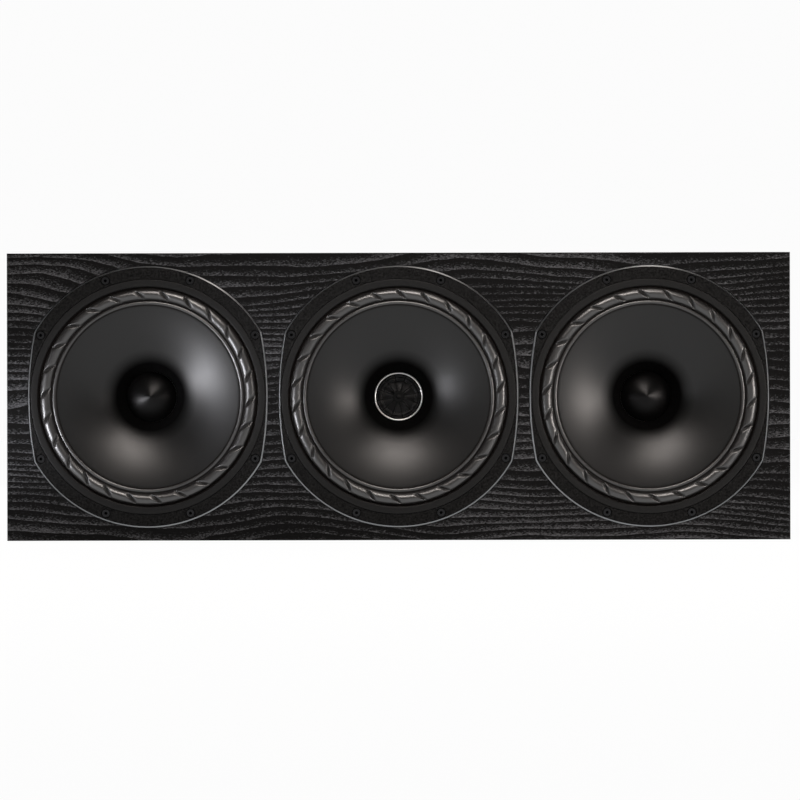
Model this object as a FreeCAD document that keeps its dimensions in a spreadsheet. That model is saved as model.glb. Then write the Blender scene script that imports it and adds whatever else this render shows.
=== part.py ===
import FreeCAD
import Part
import Sketcher
import math
import os
import re

# Millimetres and degrees. The front faces -Y, +Z is up and the origin is the middle of the underside.
# Drivers are drawn about the Y axis with depth 0 on the baffle's front face and + towards the back.
SIZES = {
    # cabinet
    "panel_thickness": 18,
    "baffle_thickness": 25,
    "cabinet_depth": 310,
    "rear_inset": 3,
    "baffle_bevel": 0.8,
    "side_margin": 18.5,
    "top_margin": 11.3,
    "flange_gap": 9.8,
    "divider_thickness": 14,
    "divider_hole_radius": 8,
    # frame flange and basket
    "flange_land": 11.5,
    "side_land": 1.9,
    "flange_side_radius": 299,
    "flange_corner_radius": 8,
    "flange_thickness": 6,
    "flange_stand": 1.2,
    "flange_bevel": 1.1,
    "rebate_gap": 0.5,
    "bore_gap": 0.3,
    "basket_wall": 4,
    "cutout_gap": 0.8,
    "overrun": 1,
    "shoulder_depth": 14,
    "shoulder_slope": 2,
    "ledge_thickness": 4,
    "ledge_rim": 3,
    "pot_wall": 4,
    "back_plate_thickness": 4,
    "back_plate_land": 12,
    "window_angle": 44,
    "window_land": 1.8,
    # driver screws
    "screw_land": 5.4,
    "top_screw_angle": 20,
    "side_screw_angle": 60,
    "screw_radius": 2,
    "screw_length": 18,
    "screw_point": 2.5,
    "pilot_gap": 0.1,
    "pilot_room": 1,
    "head_radius": 3.3,
    "head_height": 2.6,
    "head_gap": 0.8,
    "head_sink": 3.4,
    "socket_flats": 2.6,
    "socket_sink": 1.6,
    # trim ring and surround
    "trim_width": 6.1,
    "trim_height": 1.6,
    "trim_bevel": 1.2,
    "trim_edge": 0.4,
    "trim_gap": 0.3,
    "seat_gap": 2.2,
    "seat_depth": 1.6,
    "roll_width": 9.6,
    "surround_wall": 0.9,
    "bead_radius": 1.5,
    "pleat_slant": 45,
    "pleat_depth": 2.6,
    "pleat_reach": 60,
    "pleat_flank": 50,
    "pleat_sweep": 14,
    "left_pleat_turn": 9.2,
    "mid_pleat_turn": 1.6,
    "right_pleat_turn": 10.8,
    # cone and dust cap
    "cone_rim_radius": 79.3,
    "cone_knee_radius": 36,
    "cone_rim_angle": 12,
    "cone_knee_angle": 33,
    "cone_neck_angle": 66,
    "cone_wall": 0.9,
    "lip_width": 5,
    "collar_length": 5,
    "glue_gap": 0.05,
    "cap_height": 13,
    "cap_curve_radius": 60,
    "cap_wall": 0.8,
    # voice coil and spider
    "former_inner": 21.8,
    "former_wall": 0.35,
    "winding_depth": 1,
    "winding_height": 16,
    "spider_offset": 4,
    "spider_span": 36,
    "spider_land": 7,
    "spider_wall": 0.7,
    "spider_wave": 2.2,
    "spider_clearance": 1.4,
    "cone_travel": 5,
    # motor
    "pole_gap": 0.6,
    "plate_gap": 0.6,
    "plate_radius": 52,
    "plate_thickness": 8,
    "magnet_radius": 60,
    "magnet_hole_radius": 32,
    "magnet_thickness": 20,
    "yoke_radius": 56,
    "yoke_thickness": 8,
    "vent_radius": 7,
    # tweeter
    "ring_gap": 0.4,
    "ring_width": 1.4,
    "ring_height": 2.8,
    "ring_lead": 0.5,
    "plug_set": 1,
    "plug_wall": 1.4,
    "plug_height": 7.4,
    "fin_set": 0.6,
    "fin_height": 2.6,
    "fin_thickness": 1.2,
    "fin_turn": 19.5,
    "hub_radius": 5.2,
    "hub_lead": 0.6,
    "nub_radius": 2.2,
    "nub_height": 0.9,
    "dome_radius": 14.2,
    "dome_height": 3.8,
    "dome_wall": 0.35,
    "dome_roll_radius": 1.5,
    "dome_film": 0.4,
    "film_land": 3.2,
    "dome_coil_wall": 0.6,
    "dome_coil_height": 5.5,
    "dome_coil_gap": 0.5,
    "dome_coil_inset": 0.1,
    "pole_disc_set": 2,
    "pole_disc_height": 2.5,
    "cup_floor_height": 4,
    # ports
    "port_radius": 30,
    "port_wall": 4,
    "port_length": 110,
    "port_flare": 8,
    "port_flange_radius": 44,
    "port_flange_height": 3,
    "port_gap": 0.2,
    # terminals
    "terminal_width": 100,
    "terminal_height": 64,
    "terminal_thickness": 3,
    "terminal_corner": 8,
    "terminal_land": 14,
    "post_spacing": 30,
    "post_radius": 3.5,
    "post_length": 22,
    "post_tail": 12,
    "post_gap": 0.1,
    "collar_radius": 8,
    "collar_height": 3,
    "lock_nut_radius": 6.5,
    "lock_nut_height": 4,
    "socket_radius": 2,
    "socket_depth": 14,
    "wire_hole_radius": 1.5,
    "grip_radius": 8.5,
    "grip_length": 14.5,
    "grip_gap": 0.08,
    "grip_bevel": 0.8,
    "flute_radius": 1.5,
    "plate_screw_inset": 7,
    "plate_screw_radius": 1.5,
    "plate_screw_length": 14,
    "plate_head_radius": 3,
    "plate_head_height": 1.9,
    "plate_head_bevel": 1,
    # crossover, wiring and damping
    "board_width": 124,
    "board_depth": 120,
    "board_thickness": 2,
    "board_back": 20,
    "inductor_radius": 18,
    "inductor_hole_radius": 8,
    "inductor_height": 22,
    "inductor_spread": 33,
    "inductor_front": 15,
    "capacitor_radius": 9,
    "capacitor_length": 36,
    "capacitor_spread": 40,
    "capacitor_back": 51,
    "resistor_side": 9,
    "resistor_length": 40,
    "resistor_pitch": 15,
    "lead_radius": 2,
    "lead_bend": 14,
    "lead_rise": 22,
    "side_lead_spread": 56,
    "mid_lead_front": 32,
    "tweeter_lead_back": 40,
    "post_lead_back": 32,
    "pad_thickness": 24,
    "pad_margin": 16,
    "pad_front": 96,
    "pad_back": 32,
}

# Sizes that follow from the ones above.
FOLLOWING = {
    "former_outer": "former_inner + former_wall",
    "winding_outer": "former_outer + winding_depth",
    "pole_radius": "former_inner - pole_gap",
    "plate_hole": "winding_outer + plate_gap",
    "neck_radius": "former_outer + glue_gap",
    "lip_outer": "cone_rim_radius + lip_width",
    "roll_radius": "roll_width / 2",
    "roll_middle": "lip_outer + roll_radius",
    "roll_outer": "lip_outer + roll_width",
    "trim_inner": "roll_outer + seat_gap",
    "trim_outer": "trim_inner + trim_width",
    "flange_radius": "trim_outer + flange_land",
    "flange_half": "trim_outer + side_land",
    "screw_circle": "trim_outer + screw_land",
    "driver_pitch": "2 * flange_half + flange_gap",
    "cabinet_height": "2 * flange_radius + 2 * top_margin",
    "cabinet_width": "2 * driver_pitch + 2 * flange_half + 2 * side_margin",
    "flange_front": "0 - flange_stand",
    "rebate_depth": "flange_thickness - flange_stand",
    "frame_bore": "roll_outer + bore_gap",
    "basket_outer": "frame_bore + basket_wall",
    "cutout_radius": "basket_outer + cutout_gap",
    "landing_front": "seat_depth - surround_wall",
    "trim_front": "landing_front - trim_height",
    "roll_foot": "sqrt(roll_radius ^ 2 - surround_wall ^ 2)",
    "hollow_radius": "roll_radius - surround_wall",
    "roll_crown": "seat_depth - roll_radius",
    "bead_middle": "cone_rim_radius + lip_width / 2",
    "pleat_centre": "roll_crown + pleat_depth + pleat_reach",
    "cone_curve": "(cone_rim_radius - cone_knee_radius) / (sin(cone_knee_angle) - sin(cone_rim_angle))",
    "throat_curve": "(cone_knee_radius - neck_radius) / (sin(cone_neck_angle) - sin(cone_knee_angle))",
    "knee_depth": "seat_depth + cone_curve * (cos(cone_rim_angle) - cos(cone_knee_angle))",
    "neck_depth": "knee_depth + throat_curve * (cos(cone_knee_angle) - cos(cone_neck_angle))",
    "collar_end": "neck_depth + collar_length",
    "spider_front": "collar_end + spider_offset",
    "spider_back": "spider_front + spider_wall",
    "ledge_inner": "former_outer + spider_span",
    "ledge_outer": "ledge_inner + spider_land",
    "ledge_back": "spider_back + ledge_thickness",
    "pot_outer": "ledge_inner + pot_wall",
    "back_plate_front": "spider_back + spider_wave + cone_travel + spider_clearance",
    "plate_front": "back_plate_front + back_plate_thickness",
    "plate_back": "plate_front + plate_thickness",
    "magnet_back": "plate_back + magnet_thickness",
    "yoke_back": "magnet_back + yoke_thickness",
    "winding_front": "plate_front + (plate_thickness - winding_height) / 2",
    "winding_back": "winding_front + winding_height",
    "head_seat": "flange_front + head_sink",
    "head_front": "head_seat - head_height",
    "screw_tip": "head_seat + screw_length",
    "ring_outer": "former_inner - ring_gap",
    "ring_inner": "ring_outer - ring_width",
    "ring_front": "neck_depth - ring_lead",
    "ring_shoulder": "ring_front + ring_width / 2",
    "ring_back": "ring_front + ring_height",
    "plug_front": "ring_front + plug_set",
    "plug_back": "plug_front + plug_height",
    "plug_outer": "ring_inner - glue_gap",
    "plug_inner": "plug_outer - plug_wall",
    "fin_front": "plug_front + fin_set",
    "fin_back": "fin_front + fin_height",
    "hub_front": "fin_front - hub_lead",
    "cup_front": "plug_back + dome_film",
    "cup_floor": "plate_front - cup_floor_height",
    "dome_edge": "dome_radius + glue_gap",
    "dome_roll_middle": "dome_edge + dome_film + dome_roll_radius",
    "dome_roll_foot": "sqrt(dome_roll_radius ^ 2 - dome_film ^ 2)",
    "dome_roll_hollow": "dome_roll_radius - dome_film",
    "film_outer": "dome_roll_middle + dome_roll_radius + film_land",
    "dome_coil_outer": "dome_radius - dome_coil_inset",
    "dome_coil_inner": "dome_coil_outer - dome_coil_wall",
    "pole_disc_front": "cup_front + pole_disc_set",
    "pole_disc_back": "pole_disc_front + pole_disc_height",
    "rear_face": "cabinet_depth / 2 - rear_inset",
    "rear_inside": "rear_face - panel_thickness",
    "baffle_inside": "baffle_thickness - cabinet_depth / 2",
    "chamber_depth": "rear_inside - baffle_inside",
    "chamber_height": "cabinet_height - 2 * panel_thickness",
    "inner_width": "cabinet_width - 2 * panel_thickness",
    "divider_across": "driver_pitch / 2",
    "post_end": "terminal_thickness + post_length",
    "collar_back": "terminal_thickness + collar_height",
    "grip_start": "post_end - grip_length",
    "wire_hole_along": "(collar_back + grip_start) / 2",
    "plate_screw_across": "terminal_width / 2 - plate_screw_inset",
    "plate_screw_up": "terminal_height / 2 - plate_screw_inset",
    "board_top": "panel_thickness + board_thickness",
}

CLOSE = 0.001
PLEATS = 26
ARMS = 6
FINS = 12
FLUTES = 10
SPIDER_FOLDS = 8
HEX = 6
RESISTORS = 2
QUARTERS = [(1, 1), (-1, 1), (-1, -1), (1, -1)]
SIDES = {"left": "0 - driver_pitch", "mid": "0", "right": "driver_pitch"}

doc = FreeCAD.newDocument("lcr_speaker")
sheet = doc.addObject("Spreadsheet::Sheet", "Sizes")
following = doc.addObject("App::VarSet", "Following")
kept = []


def bound(text):
    """Text of an expression with each size led by the object that holds it."""
    def owned(match):
        name = match.group()
        if name in SIZES:
            return "Sizes." + name
        if name in FOLLOWING:
            return "Following." + name
        return name
    return re.sub(r"[a-z]\w*", owned, text)


def value(text):
    return float(sheet.evalExpression(bound(text)))


def bind(thing, name, text):
    thing.setExpression(name, bound(text))


def fill_sizes():
    for row, (name, size) in enumerate(SIZES.items(), start=1):
        sheet.set(f"A{row}", name)
        sheet.set(f"B{row}", str(size))
        sheet.setAlias(f"B{row}", name)
    doc.recompute()
    for name, text in FOLLOWING.items():
        following.addProperty("App::PropertyFloat", name)
        bind(following, name, text)
    doc.recompute()


def seat(thing, across, along, up):
    bind(thing, "Placement.Base.x", across)
    bind(thing, "Placement.Base.y", along)
    bind(thing, "Placement.Base.z", up)
    return thing


def keep(thing):
    kept.append(thing)
    return thing


def origin(body, role):
    return [feature for feature in body.Origin.OriginFeatures if feature.Role == role][0]


def sketch_in(body, role, depth="0"):
    """Sketch on one of the body's own planes, moved to a depth along +Y where the plane is XZ."""
    sketch = body.newObject("Sketcher::SketchObject", "Sketch")
    sketch.AttachmentSupport = [(origin(body, role), "")]
    sketch.MapMode = "FlatFace"
    bind(sketch, "AttachmentOffset.Base.z", f"-({depth})")
    return sketch


def limit(sketch, kind, text, *spots):
    number = sketch.addConstraint(Sketcher.Constraint(kind, *spots, value(text)))
    bind(sketch, f"Constraints[{number}]", text)


def pin(sketch, number, end, across, along):
    limit(sketch, "DistanceX", across, -1, 1, number, end)
    limit(sketch, "DistanceY", along, -1, 1, number, end)


def arc(start, stop, radius, side):
    """Arc under half a turn whose centre lies left (1) or right (-1) of the way from start to stop."""
    chord = stop - start
    left = FreeCAD.Vector(-chord.y, chord.x, 0).normalize()
    centre = (start + stop) / 2 + left * (side * math.sqrt(radius ** 2 - (chord.Length / 2) ** 2))
    spots = (start, stop) if side > 0 else (stop, start)
    angles = [math.atan2(spot.y - centre.y, spot.x - centre.x) for spot in spots]
    return Part.ArcOfCircle(Part.Circle(centre, FreeCAD.Vector(0, 0, 1), radius), *angles)


def outline(sketch, points):
    """Closed outline. A point may carry the radius and the centre's side of the arc that leads on."""
    spots = [FreeCAD.Vector(value(point[0]), value(point[1]), 0) for point in points]
    ends = []
    for number, point in enumerate(points):
        start = spots[number]
        stop = spots[(number + 1) % len(points)]
        if len(point) == 2:
            sketch.addGeometry(Part.LineSegment(start, stop), False)
            ends.append((1, 2))
        else:
            sketch.addGeometry(arc(start, stop, value(point[2]), point[3]), False)
            ends.append((1, 2) if point[3] > 0 else (2, 1))
    for number, point in enumerate(points):
        after = (number + 1) % len(points)
        sketch.addConstraint(Sketcher.Constraint("Coincident", number, ends[number][1], after, ends[after][0]))
        pin(sketch, number, ends[number][0], point[0], point[1])
        if len(point) > 2:
            limit(sketch, "Radius", point[2], number)
    return sketch


def circle(sketch, across, along, radius):
    centre = FreeCAD.Vector(value(across), value(along), 0)
    number = sketch.addGeometry(Part.Circle(centre, FreeCAD.Vector(0, 0, 1), value(radius)), False)
    pin(sketch, number, 3, across, along)
    limit(sketch, "Radius", radius, number)


def rectangle(sketch, width, height):
    outline(sketch, [(f"{right} * ({width}) / 2", f"{up} * ({height}) / 2") for right, up in QUARTERS])


def new_body(label):
    return doc.addObject("PartDesign::Body", label)


def turn(body, points, kind="Revolution"):
    """Outline of radius and depth turned about the Y axis, added or, as a Groove, cut."""
    sketch = outline(sketch_in(body, "XY_Plane"), points)
    feature = body.newObject("PartDesign::" + kind, kind)
    feature.Profile = sketch
    feature.ReferenceAxis = (sketch, ["V_Axis"])
    feature.Angle = 360
    return feature


def turned(label, points):
    body = new_body(label)
    turn(body, points)
    return body


def pad(body, sketch, length):
    """Raise a sketch on the XZ plane towards +Y."""
    feature = body.newObject("PartDesign::Pad", "Pad")
    feature.Profile = sketch
    feature.Reversed = True
    bind(feature, "Length", length)
    return feature


def pocket(body, sketch, length):
    """Cut a sketch on the XZ plane towards +Y."""
    feature = body.newObject("PartDesign::Pocket", "Pocket")
    feature.Profile = sketch
    bind(feature, "Length", length)
    return feature


def pattern(body, feature, count):
    ring = body.newObject("PartDesign::PolarPattern", "Ring")
    ring.Originals = [feature]
    ring.Axis = (origin(body, "Y_Axis"), [""])
    ring.Angle = 360
    ring.Occurrences = count
    body.Tip = ring


def dress(body, feature, kind, size, chosen):
    """Chamfer or fillet of the feature's edges for which chosen(edge) holds."""
    doc.recompute()
    edges = [f"Edge{number}" for number, edge in enumerate(feature.Shape.Edges, start=1) if chosen(edge)]
    dressed = body.newObject("PartDesign::" + kind, kind)
    dressed.Base = (feature, edges)
    bind(dressed, "Size" if kind == "Chamfer" else "Radius", size)
    return dressed


def lies_at(depth):
    """Test for edges that lie in the plane at a depth."""
    def test(edge):
        box = edge.BoundBox
        return max(abs(box.YMin - depth), abs(box.YMax - depth)) < CLOSE
    return test


def runs_along(edge):
    """Test for straight edges along Y."""
    box = edge.BoundBox
    return box.YLength > CLOSE and max(box.XLength, box.ZLength) < CLOSE


def box(label, width, depth, height, across, along, up):
    slab = doc.addObject("Part::Box", label)
    bind(slab, "Length", width)
    bind(slab, "Width", depth)
    bind(slab, "Height", height)
    return seat(slab, across, along, up)


def cylinder(label, radius, height, across, along, up):
    rod = doc.addObject("Part::Cylinder", label)
    bind(rod, "Radius", radius)
    bind(rod, "Height", height)
    return seat(rod, across, along, up)


def cut(label, base, tool):
    left = doc.addObject("Part::Cut", label)
    left.Base = base
    left.Tool = tool
    return left


def gather(label, things):
    group = doc.addObject("Part::Compound", label)
    group.Links = things
    return keep(group)


def clone(label, master, across):
    """Copy of a driver's piece at its driver's place on the baffle."""
    body = new_body(label)
    base = doc.addObject("PartDesign::FeatureBase", "Base")
    body.Group = [base]
    base.BaseFeature = master
    body.Tip = base
    return keep(at_driver(body, across))


def at_driver(thing, across):
    return seat(thing, across, "0 - cabinet_depth / 2", "cabinet_height / 2")


def spun(thing, angle):
    """Turn a piece about its own Y axis, clockwise as seen from the front."""
    thing.Placement.Rotation = FreeCAD.Rotation(FreeCAD.Vector(0, 1, 0), value(angle))
    bind(thing, "Placement.Rotation.Angle", angle)
    return thing


def flange_outline(sketch, gap, across):
    """Round flange cut back left and right by large arcs, with rounded corners, grown by a gap."""
    radius = value(f"flange_radius + {gap}")
    side_radius = value(f"flange_side_radius + {gap}")
    corner = value(f"flange_corner_radius + {gap}")
    middle = value(across)
    shift = value("flange_half - flange_side_radius")
    corner_x = (shift ** 2 - (side_radius - corner) ** 2 + (radius - corner) ** 2) / (2 * shift)
    corner_y = math.sqrt((radius - corner) ** 2 - corner_x ** 2)
    top = math.atan2(corner_y, corner_x)
    side = math.atan2(corner_y, corner_x - shift)
    half = math.pi
    arcs = [
        (shift, 0, side_radius, -side, side),
        (corner_x, corner_y, corner, side, top),
        (0, 0, radius, top, half - top),
        (-corner_x, corner_y, corner, half - top, half - side),
        (-shift, 0, side_radius, half - side, half + side),
        (-corner_x, -corner_y, corner, half + side, half + top),
        (0, 0, radius, half + top, 2 * half - top),
        (corner_x, -corner_y, corner, -top, -side),
    ]
    for x, y, size, start, stop in arcs:
        ring = Part.Circle(FreeCAD.Vector(middle + x, y, 0), FreeCAD.Vector(0, 0, 1), size)
        sketch.addGeometry(Part.ArcOfCircle(ring, start, stop), False)
    for number in range(len(arcs)):
        sketch.addConstraint(Sketcher.Constraint("Tangent", number, 2, (number + 1) % len(arcs), 1))
        name = ("flange_side_radius", "flange_corner_radius", "flange_radius", "flange_corner_radius")[number % 4]
        limit(sketch, "Radius", f"{name} + {gap}", number)
    pin(sketch, 0, 3, f"{across} + flange_half - flange_side_radius", "0")
    pin(sketch, 4, 3, f"{across} - flange_half + flange_side_radius", "0")
    pin(sketch, 2, 3, across, "0")
    pin(sketch, 6, 3, across, "0")
    return sketch


def screw_places():
    """Texts of the eight screws' places about a driver's middle."""
    places = []
    for angle in ("top_screw_angle", "side_screw_angle"):
        for right, up in QUARTERS:
            places.append((f"{right} * screw_circle * sin({angle})", f"{up} * screw_circle * cos({angle})"))
    return places


def screw_holes(body, depth, radius, length, middles):
    sketch = sketch_in(body, "XZ_Plane", depth)
    for middle in middles:
        for across, up in screw_places():
            circle(sketch, f"{middle} + {across}", up, radius)
    pocket(body, sketch, length)


def front_baffle():
    body = keep(at_driver(new_body("front_baffle"), "0"))
    face = sketch_in(body, "XZ_Plane")
    rectangle(face, "cabinet_width", "cabinet_height")
    slab = pad(body, face, "baffle_thickness")
    dress(body, slab, "Chamfer", "baffle_bevel", lies_at(0))
    for middle in SIDES.values():
        pocket(body, flange_outline(sketch_in(body, "XZ_Plane"), "rebate_gap", middle), "rebate_depth")
    holes = sketch_in(body, "XZ_Plane")
    for middle in SIDES.values():
        circle(holes, middle, "0", "cutout_radius")
    pocket(body, holes, "baffle_thickness")
    screw_holes(body, "0", "screw_radius + pilot_gap", "screw_tip + pilot_room", SIDES.values())


def panels():
    """Top and bottom run the full width; the sides stand between them."""
    depth = "cabinet_depth - baffle_thickness"
    across = "0 - cabinet_width / 2"
    keep(box("bottom_panel", "cabinet_width", depth, "panel_thickness", across, "baffle_inside", "0"))
    top = "cabinet_height - panel_thickness"
    keep(box("top_panel", "cabinet_width", depth, "panel_thickness", across, "baffle_inside", top))
    for label, edge in (("left_panel", across), ("right_panel", "cabinet_width / 2 - panel_thickness")):
        keep(box(label, "panel_thickness", depth, "chamber_height", edge, "baffle_inside", "panel_thickness"))


def rear_panel():
    body = keep(seat(new_body("rear_panel"), "0", "rear_inside", "cabinet_height / 2"))
    face = sketch_in(body, "XZ_Plane")
    rectangle(face, "inner_width", "chamber_height")
    pad(body, face, "panel_thickness")
    opening = sketch_in(body, "XZ_Plane")
    rectangle(opening, "terminal_width - 2 * terminal_land", "terminal_height - 2 * terminal_land")
    for middle in (SIDES["left"], SIDES["right"]):
        circle(opening, middle, "0", "port_radius + port_wall + port_gap")
    for right, up in QUARTERS:
        hole = "plate_screw_radius + pilot_gap"
        circle(opening, f"{right} * plate_screw_across", f"{up} * plate_screw_up", hole)
    pocket(body, opening, "panel_thickness")


def dividers():
    for side, sign in (("left", "-1"), ("right", "1")):
        across = f"{sign} * divider_across - divider_thickness / 2"
        slab = box(side + "_board", "divider_thickness", "chamber_depth", "chamber_height",
                   across, "baffle_inside", "panel_thickness")
        drill = cylinder(side + "_drill", "divider_hole_radius", "divider_thickness",
                         across, "board_back", "board_top + lead_rise")
        drill.Placement.Rotation = FreeCAD.Rotation(FreeCAD.Vector(0, 1, 0), 90)
        keep(cut(side + "_divider", slab, drill))


def frame():
    """Cast frame: flange, seat for the surround, basket with windows, pot and back plate."""
    body = new_body("frame")
    flange = pad(body, flange_outline(sketch_in(body, "XZ_Plane", "flange_front"), "0", "0"), "flange_thickness")
    dress(body, flange, "Chamfer", "flange_bevel", lies_at(value("flange_front")))
    turn(body, [
        ("0", "flange_front - overrun"),
        ("trim_outer + trim_gap", "flange_front - overrun"),
        ("trim_outer + trim_gap", "seat_depth"),
        ("frame_bore", "seat_depth"),
        ("frame_bore", "rebate_depth + overrun"),
        ("0", "rebate_depth + overrun"),
    ], "Groove")
    turn(body, [
        ("frame_bore", "rebate_depth - overrun"),
        ("basket_outer", "rebate_depth - overrun"),
        ("basket_outer", "shoulder_depth"),
        ("ledge_outer + basket_wall", "ledge_back"),
        ("pot_outer", "ledge_back"),
        ("pot_outer", "plate_front"),
        ("plate_radius - back_plate_land", "plate_front"),
        ("plate_radius - back_plate_land", "back_plate_front"),
        ("ledge_inner", "back_plate_front"),
        ("ledge_inner", "spider_back"),
        ("ledge_outer", "spider_back"),
        ("ledge_outer", "spider_back - ledge_rim"),
        ("frame_bore", "shoulder_depth - shoulder_slope"),
    ])
    screw_holes(body, "flange_front", "head_radius + head_gap", "head_sink", ["0"])
    screw_holes(body, "flange_front", "screw_radius + pilot_gap", "flange_thickness", ["0"])
    inner = "(ledge_outer + basket_wall + window_land)"
    outer = "(frame_bore - window_land)"
    half = "(window_angle / 2)"
    window = outline(sketch_in(body, "XZ_Plane", "rebate_depth"), [
        (f"{inner} * cos{half}", f"-{inner} * sin{half}"),
        (f"{outer} * cos{half}", f"-{outer} * sin{half}", outer, 1),
        (f"{outer} * cos{half}", f"{outer} * sin{half}"),
        (f"{inner} * cos{half}", f"{inner} * sin{half}", inner, -1),
    ])
    pattern(body, pocket(body, window, "plate_front"), ARMS)
    return body


def trim_ring():
    return turned("trim_ring", [
        ("trim_inner", "landing_front"),
        ("trim_inner", "trim_front + trim_bevel"),
        ("trim_inner + trim_bevel", "trim_front"),
        ("trim_outer - trim_edge", "trim_front"),
        ("trim_outer", "trim_front + trim_edge"),
        ("trim_outer", "landing_front"),
    ])


def pleats(body, sink):
    """Slanted V grooves round the roll, each swept about a line behind it, set deeper by a sink."""
    sketch = sketch_in(body, "XY_Plane", "0 - roll_middle")
    sketch.AttachmentOffset = FreeCAD.Placement(
        FreeCAD.Vector(0, 0, value("roll_middle")), FreeCAD.Rotation(FreeCAD.Vector(0, 1, 0), -1))
    bind(sketch, "AttachmentOffset.Rotation.Angle", "-pleat_slant")
    valley = f"pleat_centre - pleat_reach + {sink}"
    half = "roll_radius / tan(pleat_flank)"
    outline(sketch, [("0", valley), (half, valley + " - roll_radius"), ("0 - " + half, valley + " - roll_radius")])
    middle = FreeCAD.Vector(0, value("pleat_centre"), 0)
    aside = FreeCAD.Vector(value("roll_radius"), 0, 0)
    number = sketch.addGeometry(Part.LineSegment(middle - aside, middle + aside), True)
    pin(sketch, number, 1, "0 - roll_radius", "pleat_centre")
    pin(sketch, number, 2, "roll_radius", "pleat_centre")
    groove = body.newObject("PartDesign::Groove", "Pleat")
    groove.Profile = sketch
    groove.ReferenceAxis = (sketch, ["Axis0"])
    groove.Midplane = True
    bind(groove, "Angle", "pleat_sweep")
    pattern(body, groove, PLEATS)


def surround():
    """Rubber surround: two landings, a bead and a pleated half roll of even wall."""
    outer = turned("surround_outside", [
        ("cone_rim_radius", "seat_depth"),
        ("cone_rim_radius", "landing_front"),
        ("bead_middle - bead_radius", "landing_front"),
        ("bead_middle - bead_radius / 2", "landing_front - bead_radius / 2"),
        ("bead_middle + bead_radius / 2", "landing_front - bead_radius / 2"),
        ("bead_middle + bead_radius", "landing_front"),
        ("roll_middle - roll_foot", "landing_front", "roll_radius", 1),
        ("roll_middle", "roll_crown", "roll_radius", 1),
        ("roll_middle + roll_foot", "landing_front"),
        ("trim_outer", "landing_front"),
        ("trim_outer", "seat_depth"),
    ])
    pleats(outer, "0")
    inner = turned("surround_hollow", [
        ("roll_middle - hollow_radius", "seat_depth + overrun"),
        ("roll_middle - hollow_radius", "seat_depth", "hollow_radius", 1),
        ("roll_middle", "seat_depth - hollow_radius", "hollow_radius", 1),
        ("roll_middle + hollow_radius", "seat_depth"),
        ("roll_middle + hollow_radius", "seat_depth + overrun"),
    ])
    pleats(inner, "surround_wall / cos(pleat_flank)")
    return cut("surround", outer, inner)


def cone():
    """Flared cone of even wall in two arcs, with a flat lip and a collar on the coil former."""
    rim = ("cone_rim_angle", "cone_rim_radius", "seat_depth")
    knee = ("cone_knee_angle", "cone_knee_radius", "knee_depth")
    neck = ("cone_neck_angle", "neck_radius", "neck_depth")
    behind = {}
    for angle, radius, depth in (rim, knee, neck):
        behind[angle] = (f"{radius} + cone_wall * sin({angle})", f"{depth} + cone_wall * cos({angle})")
    return turned("cone", [
        ("lip_outer", "seat_depth"),
        ("cone_rim_radius", "seat_depth", "cone_curve", -1),
        ("cone_knee_radius", "knee_depth", "throat_curve", -1),
        ("neck_radius", "neck_depth"),
        ("neck_radius", "collar_end"),
        ("neck_radius + cone_wall", "collar_end"),
        behind["cone_neck_angle"] + ("throat_curve - cone_wall", 1),
        behind["cone_knee_angle"] + ("cone_curve - cone_wall", 1),
        behind["cone_rim_angle"],
        ("lip_outer", "seat_depth + cone_wall"),
    ])


def dust_cap():
    """Pointed cap on the front end of the coil former."""
    return turned("dust_cap", [
        ("0", "neck_depth - cap_height", "cap_curve_radius", 1),
        ("former_outer", "neck_depth"),
        ("former_outer - cap_wall", "neck_depth", "cap_curve_radius", -1),
        ("0", "neck_depth - cap_height + cap_wall"),
    ])


def spider():
    """Folded cloth disc from the coil former to the basket's ledge."""
    front = [("neck_radius", "spider_front")]
    step = f"(ledge_inner - neck_radius) / {SPIDER_FOLDS + 1}"
    for fold in range(1, SPIDER_FOLDS + 1):
        sign = "-" if fold % 2 else "+"
        front.append((f"neck_radius + {fold} * {step}", f"spider_front {sign} spider_wave"))
    front.append(("ledge_inner", "spider_front"))
    front.append(("ledge_outer - bore_gap", "spider_front"))
    back = [(radius, f"{depth} + spider_wall") for radius, depth in reversed(front)]
    return turned("spider", front + back)


def voice_coil():
    return turned("voice_coil", [
        ("former_inner", "neck_depth"),
        ("former_outer", "neck_depth"),
        ("former_outer", "winding_front"),
        ("winding_outer", "winding_front"),
        ("winding_outer", "winding_back"),
        ("former_inner", "winding_back"),
    ])


def ring(label, inner, outer, front, back):
    return turned(label, [(inner, front), (outer, front), (outer, back), (inner, back)])


def yoke():
    return turned("yoke", [
        ("vent_radius", "plate_front"),
        ("pole_radius", "plate_front"),
        ("pole_radius", "magnet_back"),
        ("yoke_radius", "magnet_back"),
        ("yoke_radius", "yoke_back"),
        ("vent_radius", "yoke_back"),
    ])


def drivers():
    masters = [
        frame(),
        trim_ring(),
        cone(),
        spider(),
        voice_coil(),
        ring("top_plate", "plate_hole", "plate_radius", "plate_front", "plate_back"),
        ring("magnet", "magnet_hole_radius", "magnet_radius", "plate_back", "magnet_back"),
        yoke(),
    ]
    cap = dust_cap()
    pleated = surround()
    for side, across in SIDES.items():
        for master in masters:
            clone(f"{side}_{master.Label}", master, across)
        spun(clone(f"{side}_surround", pleated, across), f"{side}_pleat_turn")
        if side != "mid":
            clone(f"{side}_dust_cap", cap, across)


def hex_socket(body, depth):
    """Six sided socket cut into a screw's head."""
    reach = "(socket_flats / sqrt(3))"
    corners = [360 * number / HEX for number in range(HEX)]
    points = [(f"{reach} * cos({corner})", f"{reach} * sin({corner})") for corner in corners]
    pocket(body, outline(sketch_in(body, "XZ_Plane", depth), points), "socket_sink")


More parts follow.
